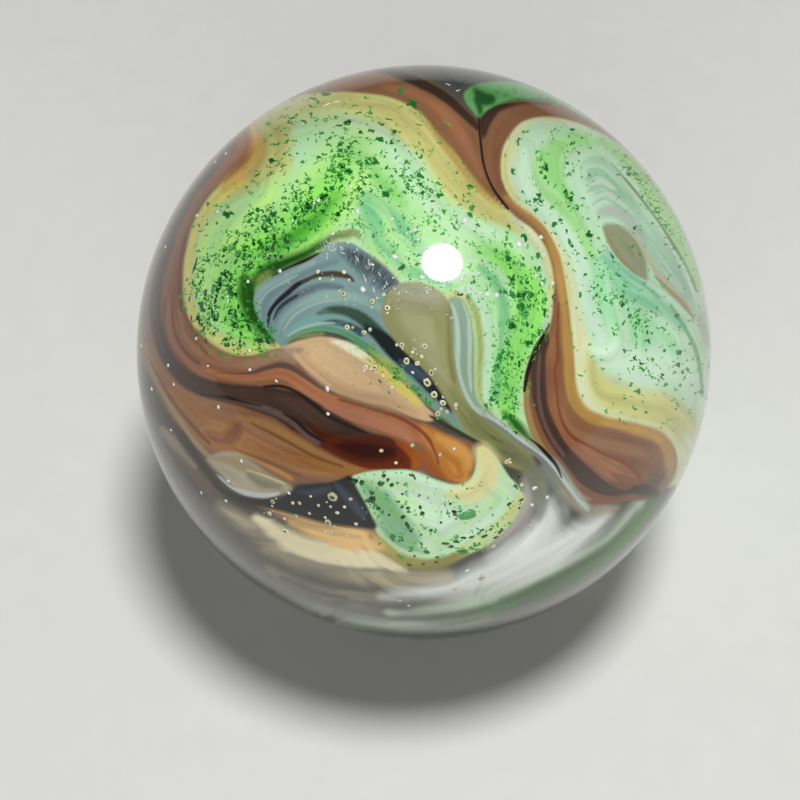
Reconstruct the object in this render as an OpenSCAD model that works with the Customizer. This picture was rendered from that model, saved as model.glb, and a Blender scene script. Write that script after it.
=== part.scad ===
// A solid ball of swirled glass, about 16 mm across. Rods of brown, green, white and clear
// glass were laid over each other and twisted while hot, and then ground and fire polished,
// so all the colours lie flush in one smooth ball.

/* [Ball] */
// Diameter of the ball
ball_d = 16; // [10:0.5:35]

/* [Hidden] */

ball_facets = 56;

// The swirl is drawn for a ball of this diameter, and grows and shrinks with the real one.
drawn_d = 16;

// The swirl's plane leans back by this angle from level, so it faces up and to the front.
swirl_lean = 40;

// Short straight steps from one drawn point to the next.
steps = 2;

// One stretch of a smooth curve that passes through b and c, with a before and d after.
function bend(a, b, c, d, t) =
    0.5 * (2 * b + (c - a) * t + (2 * a - 5 * b + 4 * c - d) * t * t
    + (3 * b - a - 3 * c + d) * t * t * t);

// A pool of glass: a smooth closed outline through a few points.
function pool(points) =
    let (n = len(points))
    [for (i = [0 : n - 1], s = [0 : steps - 1])
        bend(points[(i + n - 1) % n], points[i], points[(i + 1) % n], points[(i + 2) % n], s / steps)];

// A smooth open curve through a few points.
function run(points) =
    let (n = len(points))
    concat([for (i = [0 : n - 2], s = [0 : steps - 1])
        bend(points[max(i - 1, 0)], points[i], points[i + 1], points[min(i + 2, n - 1)], s / steps)],
        [points[n - 1]]);

// The direction square to a curve at one of its points.
function across(curve, i) =
    let (along = curve[min(i + 1, len(curve) - 1)] - curve[max(i - 1, 0)], l = norm([along[0], along[1]]))
    [-along[1] / l, along[0] / l];

// A drawn-out strand of glass: a smooth line through points [x, y, half width].
function strand(points) =
    let (curve = run(points), n = len(curve))
    concat([for (i = [0 : n - 1]) [curve[i][0], curve[i][1]] + across(curve, i) * curve[i][2]],
        [for (i = [n - 1 : -1 : 0]) [curve[i][0], curve[i][1]] - across(curve, i) * curve[i][2]]);

// The glasses in the order in which they lie over each other: colour and outline.
GLASSES = [
    // Veils of white and moss green in the smoky glass at the bottom.
    ["#b1a98f", strand([[-5.1, -4, 0.15], [-3.6, -5, 0.3], [-1.3, -5.6, 0.3], [0.7, -5.6, 0.15]])],
    ["#e4e9e2", pool([[6.1, -3.7], [4.9, -3.8], [4, -3.6], [3.4, -3], [2.7, -3.3], [2.5, -3.9], [2, -4.7],
        [0.8, -5.3], [-0.4, -5.7], [0.6, -6.2], [2.6, -6], [4.2, -5.2], [5.4, -4.4]])],
    ["#7d9f6c", strand([[6.3, -3.7, 0.12], [5.2, -5, 0.2], [3.5, -5.9, 0.2], [1.9, -6.6, 0.18], [0.8, -6.9, 0.1]])],
    // Dark channel on the left.
    ["#4a463a", strand([[-7.6, -0.5, 0.15], [-6.9, -1.6, 0.25], [-5.8, -2.7, 0.22], [-4.9, -3.7, 0.18],
        [-3.8, -4, 0.08]])],
    // Large green field: a buttery rim, apple green within, and the strongest green in its bend.
    ["#ccca78", pool([[-4.6, 7.2], [-1, 6.9], [0.6, 5.9], [2.6, 3.6], [3.4, 1.4], [3.3, -0.2], [3, -2.4],
        [2.2, -2.5], [1.3, -0.8], [0.9, 1.1], [-1.9, 2.4], [-3.7, 1.5], [-3.3, -0.2], [-4.5, -0.4], [-6, 0.7],
        [-6.3, 2.6], [-5.6, 4.5], [-4, 5]])],
    ["#a8e28c", pool([[-3.1, 6], [-1.5, 5.8], [-0.4, 5], [0.5, 3.8], [1.9, 3], [2.8, 2.6], [3.1, 1.6], [2.9, 0.5],
        [2.5, -0.7], [2.7, -2.1], [1.9, -1.7], [1.4, -1], [1.3, 0.3], [0.9, 1.4], [-0.6, 1.6], [-1.6, 2.5],
        [-2.2, 2.6], [-3.3, 2], [-4, 1.5], [-3.9, 0.7], [-3.5, 0.3], [-4.3, 0.1], [-5.3, 0.5], [-5.8, 1.4],
        [-5.8, 2.6], [-5.2, 3.6], [-4.1, 3.9], [-3.4, 4.6], [-3.4, 5.2]])],
    ["#56bd3c", strand([[-1.7, 5.1, 0.1], [-2.5, 3.8, 0.45], [-3.9, 2.7, 0.55], [-4.9, 1.5, 0.5],
        [-4.3, 0.5, 0.2]])],
    ["#74c98f", strand([[-1.6, 3.9, 0.1], [-0.6, 2.9, 0.35], [0.5, 2, 0.15]])],
    // Right field: cream, mint within, and an eye of cut layers round a grey-brown lens.
    ["#d3d59c", pool([[1.9, 6], [3.6, 6.3], [4.8, 6.7], [7, 4.6], [8.4, 1], [8.2, -2], [6.9, -3], [4.2, -2],
        [3.3, -0.5], [3.3, 1.8], [2.4, 3.6], [1.7, 4.4]])],
    ["#bdeabb", pool([[2.7, 5.8], [4, 5.9], [5.4, 6.1], [7.2, 4.3], [8.4, 1], [8.2, -1.6], [6.8, -2], [6.6, -1],
        [5.5, -0.9], [4.4, -0.6], [4.1, 0.5], [3.8, 1.4], [3.5, 2.4], [2.8, 3.3], [2.3, 4], [2.3, 5]])],
    ["#82c49d", strand([[4.4, 2.3, 0.1], [5, 1.4, 0.3], [6.1, 1.1, 0.2], [6.6, 0.8, 0.05]])],
    ["#9bd977", strand([[4.5, 5.5, 0.08], [5.8, 4.5, 0.2], [6.6, 3.3, 0.22], [7.3, 2, 0.1]])],
    ["#b9d4bd", pool([[3.8, 4.6], [4.3, 5], [4.9, 4.7], [5.7, 3.8], [6.4, 2.8], [7.3, 1.2], [6.6, 1.4], [5.5, 2],
        [4.5, 2.8], [4.2, 3.5], [3.9, 4.2]])],
    ["#8e8f73", pool([[4.3, 3.2], [4.9, 3.3], [5.4, 2.8], [5.6, 1.9], [5, 2.1], [4.5, 2.7]])],
    // Right ribbon, with its dark strand.
    ["#8e6247", pool([[1.4, 5.7], [1.6, 6.3], [2, 6.5], [2.8, 6.7], [3.7, 6.6], [4.8, 6.9], [6.6, 5.7], [4.2, 6],
        [3.6, 6.1], [2.7, 6], [2.1, 5.6], [1.9, 5.1], [1.8, 4.5], [2, 4], [2.5, 3.5], [3, 3], [3.3, 2.4],
        [3.4, 1.7], [3.6, 0.7], [3.7, -0.2], [3.8, -1], [4.2, -1.4], [4.9, -1.6], [6, -1.9], [6.7, -2.4],
        [6.7, -3.1], [6.1, -3.6], [4.8, -3.8], [4, -3.6], [3.5, -3.1], [2.9, -2.3], [2.6, -1.7], [2.4, -1],
        [2.5, -0.4], [2.7, 0.2], [3.1, 0.9], [3.2, 1.5], [3, 2.3], [2.8, 2.9], [2.3, 3.3], [1.8, 3.9],
        [1.4, 4.5], [1.3, 5.1]])],
    ["#b8904e", strand([[2, 3.8, 0.05], [3.1, 2.6, 0.1], [3.4, 0.9, 0.1], [3.6, -0.9, 0.12], [4.3, -1.6, 0.14],
        [6, -2.1, 0.16], [6.5, -2.8, 0.08]])],
    ["#40312b", strand([[2.9, 0.4, 0.05], [2.6, -0.6, 0.12], [2.8, -1.5, 0.14], [3.3, -2.4, 0.2],
        [4, -3.1, 0.24], [5, -3.4, 0.14], [5.8, -3.4, 0.08]])],
    // Left ribbon over the top and down the left side, where it opens into the fan.
    ["#8e6247", pool([[-4.6, 7.4], [-3.2, 6.7], [-1.6, 6.7], [-0.6, 6.4], [0.3, 5.5], [1.2, 4.3], [2.1, 3.4],
        [1.5, 4.6], [1.3, 5.7], [1.1, 6.4], [0.7, 6.9], [-0.3, 7.6], [-1.2, 8.3], [-3, 8.5]])],
    ["#8e6247", pool([[-5.6, 6.6], [-4.6, 5.8], [-4.1, 5.1], [-4.5, 4.5], [-5.2, 4.2], [-5.7, 3.6], [-6.1, 2.8],
        [-6.1, 1.6], [-5.9, 0.8], [-5.2, 0.1], [-4.5, -0.1], [-3.4, 0.1], [-3, -0.3], [-2.5, -0.7], [-1.7, -1.1],
        [-0.5, -1.4], [0.5, -1.9], [1.1, -2.1], [1.3, -2.4], [1.2, -3], [1, -3.2], [0.5, -3.1], [-0.3, -2.8],
        [-1, -2.9], [-2.1, -3.2], [-3.2, -3.3], [-4.1, -2.8], [-4.8, -2.5], [-5.4, -2.7], [-6.1, -1.9],
        [-6.9, -1], [-7.4, -0.2], [-8.3, 0.4], [-8.5, 3], [-7, 5.6]])],
    ["#98693b", pool([[-7.1, -0.7], [-6.6, -0.8], [-5.9, -1.1], [-4.5, -1.4], [-3.6, -1.6], [-3, -2], [-2.5, -2.2],
        [-1.9, -2.6], [-1.1, -2.8], [-2.1, -3.1], [-3.2, -3.2], [-4.1, -2.7], [-4.8, -2.4], [-5.4, -2.6],
        [-6.1, -1.8], [-6.8, -1.1]])],
    ["#b16d4c", strand([[-5.4, -0.5, 0.04], [-4.3, -0.7, 0.1], [-3.2, -0.6, 0.13], [-2.5, -1.1, 0.16],
        [-1.5, -1.5, 0.18], [-0.3, -1.8, 0.18], [0.2, -2, 0.12]])],
    ["#40312b", strand([[-4.9, 5.6, 0.05], [-5.7, 4.6, 0.1], [-6.6, 3, 0.12], [-7.1, 1.4, 0.13], [-7, 0.7, 0.15],
        [-6.4, -0.4, 0.2], [-5.4, -0.9, 0.22], [-4.2, -1.1, 0.28], [-2.9, -1.5, 0.36], [-1.8, -1.9, 0.24],
        [-0.8, -2.1, 0.06]])],
    ["#4b1d1a", pool([[-2.5, -2.2], [-1.5, -2.1], [-0.8, -2.1], [-0.3, -2.3], [-0.1, -2.7], [-0.8, -2.8],
        [-1.6, -2.7], [-2.2, -2.5]])],
    ["#c4843f", pool([[0.1, -1.8], [0.6, -2], [1.1, -2.2], [1.3, -2.4], [1.2, -2.9], [1, -3.1], [0.5, -3],
        [0.1, -2.8], [0, -2.4]])],
    ["#40312b", strand([[-1.6, 7.6, 0.06], [-0.1, 7.1, 0.12], [0.8, 6.3, 0.14], [1.3, 5.6, 0.05]])],
    // Agate window: clear slate glass with pale, dark and green bands, and the slot.
    ["#6b8583", pool([[-4.1, 1.3], [-3.9, 1.7], [-3.3, 2], [-2.6, 2.4], [-2.2, 2.7], [-1.5, 2.5], [-0.7, 1.9],
        [-0.9, 1.1], [-0.7, 0.3], [0.2, -0.7], [1, -1.6], [0.3, -1.3], [-0.4, -0.6], [-1.2, 0], [-2, 0.4],
        [-2.9, 0.4], [-3.4, 0.1], [-3.9, 0.6]])],
    ["#26262b", strand([[-3.8, 0.6, 0.03], [-3.6, 1.2, 0.08], [-3.1, 1.6, 0.07], [-2.7, 1.8, 0.03]])],
    ["#4d443c", strand([[-3, 1.7, 0.03], [-2.2, 1.9, 0.08], [-1.7, 1.7, 0.03]])],
    ["#a3c3b8", strand([[-3.5, 0.4, 0.03], [-3.2, 1, 0.09], [-2.3, 1.4, 0.1], [-1.1, 1.1, 0.07]])],
    ["#3c5746", strand([[-3.2, 0.8, 0.04], [-2.3, 1, 0.1], [-1.2, 0.5, 0.15], [-0.8, 0.2, 0.12]])],
    ["#24292c", strand([[-1.4, 0.6, 0.07], [-0.8, 0.1, 0.2], [-0.1, -0.4, 0.2], [0.7, -1.3, 0.07]])],
    // Peach streak under the window, with its yellow edge.
    ["#cca580", pool([[-3.4, 0.1], [-2.5, 0.3], [-1.8, 0.2], [-1.1, -0.2], [-0.4, -0.8], [0.3, -1.5],
        [-0.5, -1.4], [-1.7, -1.1], [-2.8, -0.5]])],
    ["#dacb6a", strand([[-1.7, 0.1, 0.06], [-1.1, -0.3, 0.1], [-0.3, -1, 0.1], [0, -1.3, 0.04]])],
    // Olive lobe, and the white stripes beside it.
    ["#a39a6a", pool([[-0.8, 1.5], [-0.3, 1.7], [0.3, 1.5], [0.7, 0.5], [0.8, -0.5], [1.3, -1.4], [2.4, -2.1],
        [3.4, -2.9], [2.7, -3.2], [2, -2.8], [1.5, -2.2], [0.8, -1.5], [0.1, -0.5], [-0.9, 0.6]])],
    ["#c2d4c8", strand([[0.8, 1.2, 0.05], [1, 0.3, 0.14], [1.1, -0.7, 0.14], [1.5, -1.4, 0.1], [2.3, -2, 0.07],
        [3.2, -2.8, 0.08], [3.8, -3.6, 0.1]])],
    // Black window, the white patch on its end, and the caramel edge below it.
    ["#deb67e", strand([[-3.2, -4.3, 0.05], [-2, -4.6, 0.18], [-1, -4.8, 0.08]])],
    ["#1d1f22", pool([[-5.2, -3.4], [-4.3, -3.6], [-3.5, -3.6], [-3, -3.3], [-1.7, -3], [-1.1, -4.4],
        [-1.9, -4.4], [-3, -4.1], [-4, -3.8]])],
    ["#b9b29e", pool([[-5.4, -2.7], [-4.8, -2.5], [-4.1, -2.8], [-3.2, -3.3], [-3.9, -3.6], [-4.6, -3.5],
        [-5.1, -3.1]])],
    // Lower pool: mint in an olive rim.
    ["#91884a", pool([[-1.8, -3], [-1.1, -2.9], [-0.3, -2.8], [0.8, -3.2], [1.2, -3], [1.3, -2.3], [1.8, -2.5],
        [2.3, -3.1], [2.6, -3.5], [2, -4.5], [0.8, -5.2], [-0.2, -5.4], [-1.1, -4.9], [-1.3, -4]])],
    ["#b5e3a3", pool([[-1.7, -3.1], [-1.1, -3], [-0.3, -2.9], [0.8, -3.3], [1.3, -3.1], [1.4, -2.5], [1.8, -2.6],
        [2.2, -3.2], [2.4, -3.6], [1.9, -4.4], [0.7, -5], [-0.2, -5.1], [-0.9, -4.7], [-1.2, -4]])],
    // Smoky glass and the tongue of green that come over the top.
    ["#575c54", pool([[-0.6, 7.4], [0.2, 7], [1, 6.3], [1.3, 6], [1.2, 7], [2, 7.2], [2.5, 8.3], [-0.6, 8.5]])],
    ["#6fae6c", pool([[0.9, 6.6], [1.2, 7], [2, 7.1], [3.3, 7.1], [5.2, 7], [6.6, 5.9], [4.2, 6.4], [3.2, 6.6],
        [2.4, 6.6], [1.7, 6.3], [1.3, 6], [1, 6.4]])],
];

// The ball itself, true and smooth all over.
module ball() {
    sphere(d = ball_d, $fn = ball_facets);
}

// Carry a flat outline through the ball, square to the swirl's plane.
module through_ball() {
    rotate([swirl_lean, 0, 0])
        linear_extrude(height = 2 * ball_d, center = true)
            scale(ball_d / drawn_d)
                children();
}

// What one glass keeps of its outline where later glasses lie over it.
module seen(k) {
    difference() {
        polygon(GLASSES[k][1]);
        for (later = [k + 1 : 1 : len(GLASSES) - 1])
            polygon(GLASSES[later][1]);
    }
}

// The marble is one solid: smoky glass, and the swirl's glasses fused into it flush.
module marble() {
    color("#7f7d74")
        intersection() {
            ball();
            through_ball()
                difference() {
                    circle(d = 2 * drawn_d);
                    for (glass = GLASSES)
                        polygon(glass[1]);
                }
        }
    for (k = [0 : len(GLASSES) - 1])
        color(GLASSES[k][0])
            intersection() {
                ball();
                through_ball() seen(k);
            }
}

marble();
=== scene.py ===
# %% [markdown]
# # A glass marble with a fused green and brown swirl
# This lesson dresses one solid ball of glass, 16 mm across. Its colours were rods of hot
# glass, laid over each other and twisted while the ball was formed, so every colour lies
# flush in one polished skin. The shape is simple, and the work is in how the glasses meet.

# %% Load the frame
import math

import bmesh
import bpy
import numpy as np
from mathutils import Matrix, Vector


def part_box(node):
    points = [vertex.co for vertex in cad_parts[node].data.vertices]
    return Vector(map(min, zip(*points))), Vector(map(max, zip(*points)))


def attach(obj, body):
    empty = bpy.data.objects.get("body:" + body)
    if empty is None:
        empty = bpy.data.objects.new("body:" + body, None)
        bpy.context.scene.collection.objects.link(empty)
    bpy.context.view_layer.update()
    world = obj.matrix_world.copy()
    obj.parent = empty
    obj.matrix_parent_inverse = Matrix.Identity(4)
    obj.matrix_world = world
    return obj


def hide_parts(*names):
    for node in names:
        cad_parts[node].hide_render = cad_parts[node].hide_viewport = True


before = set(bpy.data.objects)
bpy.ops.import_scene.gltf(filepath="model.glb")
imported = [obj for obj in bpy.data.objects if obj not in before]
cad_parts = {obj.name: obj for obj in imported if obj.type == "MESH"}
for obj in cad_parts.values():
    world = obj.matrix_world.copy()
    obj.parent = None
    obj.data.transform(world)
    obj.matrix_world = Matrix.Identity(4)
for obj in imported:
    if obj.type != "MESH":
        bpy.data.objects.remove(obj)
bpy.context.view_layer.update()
low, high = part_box("marble")
MM = 0.001
BALL_RADIUS = (high[2] - low[2]) / 2
print("ball radius, mm:", round(BALL_RADIUS / MM, 3))

# %% [markdown]
# ## The camera
# A small marble is looked at from close by, so the near side bulges towards the eye. A
# camera 50 mm away and 50 degrees above the table gives that. The scene is planned on a
# frame 800 units across, and the ball's middle lies a little right of and above its middle.

# %% Camera
FRAME_UNITS = 800
CAMERA_DISTANCE = 50 * MM     # from the middle of the ball
CAMERA_RISE = math.radians(50)
BALL_MIDDLE = (422.5, 353.0)  # in view units, as all places in the view are
BALL_OUTLINE = 287.2          # how far its edge lies from its middle
SENSOR_WIDTH = 36.0      # mm
FARTHEST = 10            # m

to_camera = Vector((0, -math.cos(CAMERA_RISE), math.sin(CAMERA_RISE)))
view_right = Vector((1, 0, 0))
view_up = to_camera.cross(view_right)
grazing = math.sqrt(CAMERA_DISTANCE ** 2 - BALL_RADIUS ** 2)
focal_units = BALL_OUTLINE * grazing / BALL_RADIUS

lens = bpy.data.cameras.new("camera")
camera = bpy.data.objects.new("camera", lens)
bpy.context.scene.collection.objects.link(camera)
bpy.context.scene.camera = camera
lens.sensor_width = SENSOR_WIDTH
lens.lens = focal_units * SENSOR_WIDTH / FRAME_UNITS
lens.clip_start = 1 * MM
lens.clip_end = FARTHEST
aside = (BALL_MIDDLE[0] - FRAME_UNITS / 2) / focal_units
above = (FRAME_UNITS / 2 - BALL_MIDDLE[1]) / focal_units
aim = -to_camera - view_right * aside - view_up * above
camera.location = to_camera * CAMERA_DISTANCE
camera.rotation_euler = aim.to_track_quat("-Z", "Y").to_euler()
print("lens, mm:", round(lens.lens, 1))

# %% [markdown]
# ## Tools for materials
# A colour is written as on a paint chart and turned into the linear light that shaders add
# up. One function adds any node with its settings and its links, so a material reads as a
# list of steps.

# %% Colours and nodes
def linear(hex_colour):
    """Turn a written sRGB colour such as "c0ffee" into linear light."""
    parts = [int(hex_colour[i:i + 2], 16) / 255 for i in (0, 2, 4)]
    return [p / 12.92 if p <= 0.04045 else ((p + 0.055) / 1.055) ** 2.4 for p in parts]


def add(tree, kind, links=None, output=0, **settings):
    """Add a node, set its properties and sockets, link what feeds it, and hand on one output."""
    node = tree.nodes.new(kind)
    for name, value in settings.items():
        setattr(node, name, value)
    for socket, source in (links or {}).items():
        if isinstance(source, bpy.types.NodeSocket):
            tree.links.new(source, node.inputs[socket])
        else:
            node.inputs[socket].default_value = source
    return node.outputs[output] if node.outputs else node


def new_material(name):
    material = bpy.data.materials.new(name)
    material.use_nodes = True
    material.node_tree.nodes.clear()
    return material, material.node_tree


print("white in linear light:", linear("ffffff"))

# %% [markdown]
# ## The table
# A marble is looked at on something plain. The top is pale matt laminate, a round sheet that
# ends where the lamps' light does, outside the main view, with the faint speckle that keeps
# it from looking painted. The ball mirrors it, so its lower half turns a little paler.

# %% Table
TABLE_COLOUR = "e9e9e5"
TABLE_WIDTH = 0.42       # m
TABLE_SIDES = 128
TABLE_SPECKLE = 900.0    # specks per m
TABLE_UNEVEN = 0.03      # how far a speck is lighter or darker
TABLE_ROUGHNESS = 0.75
paint, tree = new_material("pale table, matt laminate")
place = add(tree, "ShaderNodeTexCoord", output="Object")
speckle = add(tree, "ShaderNodeTexNoise", {"Vector": place, "Scale": TABLE_SPECKLE, "Detail": 4.0})
tone = add(tree, "ShaderNodeMapRange", {"Value": speckle, "To Min": 1 - TABLE_UNEVEN,
    "To Max": 1 + TABLE_UNEVEN})
tinted = add(tree, "ShaderNodeVectorMath", {0: linear(TABLE_COLOUR), 1: tone}, operation="MULTIPLY")
shader = add(tree, "ShaderNodeBsdfPrincipled", {"Base Color": tinted, "Roughness": TABLE_ROUGHNESS})
add(tree, "ShaderNodeOutputMaterial", {"Surface": shader})

table_mesh = bpy.data.meshes.new("table")
table_form = bmesh.new()
bmesh.ops.create_circle(table_form, cap_ends=True, segments=TABLE_SIDES, radius=TABLE_WIDTH / 2)
table_form.to_mesh(table_mesh)
table_form.free()
table = bpy.data.objects.new("table", table_mesh)
table.location = (0, 0, -BALL_RADIUS)
table_mesh.materials.append(paint)
bpy.context.scene.collection.objects.link(table)
print("table at, mm:", round(table.location.z / MM, 2))

# %% [markdown]
# ## The light
# One round lamp hangs almost straight above the ball, and its mirror image is the round
# white spot on the glass. A wide panel in front and a dim even sky fill the shadows. A
# bright surround would lay a second image over the swirl, so the panel and the sky light
# the glass but are kept out of its mirror images. The table stays in them. Beyond the
# table's edge the camera sees a plain pale backdrop, which adds no light. The lamps
# together light a facing surface so that a colour shows about as it is written.

# %% Lamps
LAMP_WIDTH = 48 * MM
LAMP_PLACE = Vector((21, -21, 195)) * MM
LAMP_SHARE = 0.76        # of a white surface that faces the lamp
FILL_WIDTH = 220 * MM
FILL_PLACE = Vector((-10, -230, 110)) * MM
FILL_SHARE = 0.30
SKY_BACK = 0.0184        # the sky's strength behind the ball
SKY_FRONT = 0.0204       # and in front of it
SKY_SHOWN = 0.60         # what the camera sees beyond the table, from a low side


def hang_lamp(name, width, place, share):
    """A round lamp that points at the ball and lights a facing surface by this share."""
    data = bpy.data.lights.new(name, "AREA")
    data.shape = "DISK"
    data.size = width
    half_angle = math.atan(width / 2 / place.length)
    data.energy = share / math.sin(half_angle) ** 2 * (math.pi * width / 2) ** 2
    lamp = bpy.data.objects.new(name, data)
    lamp.location = place
    lamp.rotation_euler = (-place).to_track_quat("-Z", "Y").to_euler()
    bpy.context.scene.collection.objects.link(lamp)
    return lamp


round_lamp = hang_lamp("round_lamp", LAMP_WIDTH, LAMP_PLACE, LAMP_SHARE)
front_panel = hang_lamp("front_panel", FILL_WIDTH, FILL_PLACE, FILL_SHARE)
front_panel.visible_glossy = False

sky = bpy.data.worlds.new("sky")
sky.use_nodes = True
tree = sky.node_tree
way = add(tree, "ShaderNodeTexCoord", output="Generated")
toward_back = add(tree, "ShaderNodeSeparateXYZ", {"Vector": way}, output="Y")
strength = add(tree, "ShaderNodeMapRange", {"Value": toward_back, "From Min": -1.0, "From Max": 1.0,
                                            "To Min": SKY_FRONT, "To Max": SKY_BACK})
seen = add(tree, "ShaderNodeLightPath", output="Is Camera Ray")
strength = add(tree, "ShaderNodeMix", {0: seen, 2: strength, 3: SKY_SHOWN})
tree.nodes["Background"].inputs["Color"].default_value = linear("ffffff") + [1.0]
tree.links.new(strength, tree.nodes["Background"].inputs["Strength"])
bpy.context.scene.world = sky
sky.cycles_visibility.glossy = False
bpy.context.scene.view_settings.view_transform = "Standard"
print("lamps, W:", [round(l.data.energy, 3) for l in (round_lamp, front_panel)])

# %% [markdown]
# ## The ball's skin
# A sphere made of rings has pinched poles, and a subdivided cube does not. Each of the six
# faces of a cube is cut into a fine grid with even angles and blown out to the radius. The
# grid is fine because each point carries where it lies in the swirl.

# %% Skin of the ball
GRID = 120
steps = np.tan(np.linspace(-math.pi / 4, math.pi / 4, GRID + 1))


def ball_skin():
    """Six even grids, joined along the cube's edges and pushed out to a sphere."""
    places = {}
    points = []
    faces = []
    for axis in range(3):
        for side in (-1, 1):
            index = np.zeros((GRID + 1, GRID + 1), int)
            for i in range(GRID + 1):
                for j in range(GRID + 1):
                    spot = [0.0, 0.0, 0.0]
                    spot[axis] = float(side)
                    spot[(axis + 1) % 3] = steps[i] * side
                    spot[(axis + 2) % 3] = steps[j]
                    key = tuple(round(v, 5) for v in spot)
                    if key not in places:
                        places[key] = len(points)
                        points.append(spot)
                    index[i, j] = places[key]
            for i in range(GRID):
                for j in range(GRID):
                    faces.append((index[i, j], index[i + 1, j], index[i + 1, j + 1], index[i, j + 1]))
    points = np.array(points)
    points *= BALL_RADIUS / np.linalg.norm(points, axis=1)[:, None]
    return points, faces


skin_points, skin_faces = ball_skin()
skin = bpy.data.meshes.new("swirl_ball")
skin.from_pydata(skin_points.tolist(), [], skin_faces)
skin.shade_smooth()
ball = bpy.data.objects.new("swirl_ball", skin)
bpy.context.scene.collection.objects.link(ball)
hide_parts("marble")
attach(ball, "root")
print("skin points:", len(skin_points), "faces:", len(skin_faces))

# %% [markdown]
# ## Where a glass lies
# The swirl is drawn on a flat plan held in front of the ball: each glass is a closed pool
# or a trail of changing width, drawn through a few given points. A trail's third number is
# half its width. Places are in view units, so a shape can be judged through the camera. What
# counts for a point of the skin is how deep it lies inside each shape, because a depth can be
# read smoothly between two points of the mesh, and a colour cannot.

# %% Pools and trails
CURVE_STEPS = 6       # short straight steps from one drawn point to the next
layers = []           # the glasses in the order in which they lie over each other


def smooth_curve(points, closed):
    """Run a smooth curve through the given points, and carry their widths along it."""
    pts = np.array(points, float)
    if closed:
        ring = np.vstack([pts[-1:], pts, pts[:2]])
    else:
        ring = np.vstack([2 * pts[:1] - pts[1:2], pts, 2 * pts[-1:] - pts[-2:-1]])
    out = []
    for a, b, c, d in zip(ring, ring[1:], ring[2:], ring[3:]):
        for t in np.arange(CURVE_STEPS) / CURVE_STEPS:
            out.append(0.5 * (2 * b + (c - a) * t + (2 * a - 5 * b + 4 * c - d) * t * t
                              + (3 * b - a - 3 * c + d) * t ** 3))
    if closed:
        return np.array(out + [out[0]])
    return np.array(out + [ring[-2]])


def pool(*points):
    return {"curve": smooth_curve(points, True), "closed": True}


def trail(*points):
    return {"curve": smooth_curve(points, False), "closed": False}


def lay(glass, soft, *shapes, streak=None, cover=1.0):
    """Lay a glass, marbled with streaks of a second one, over all that lies there."""
    for shape in shapes:
        layers.append({"glass": glass, "streak": streak or glass, "soft": soft, "cover": cover,
            "shape": shape})


print("one stretch of a curve takes", CURVE_STEPS, "steps")

# %% [markdown]
# ## The glasses
# Opaque soda-lime glass is coloured in the pot: copper and chrome make the greens, iron and
# manganese the browns, and tin or fluorine the milk whites. A palette of named glasses keeps
# the swirl readable: a streak is always one glass drawn out thin within another.

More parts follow.
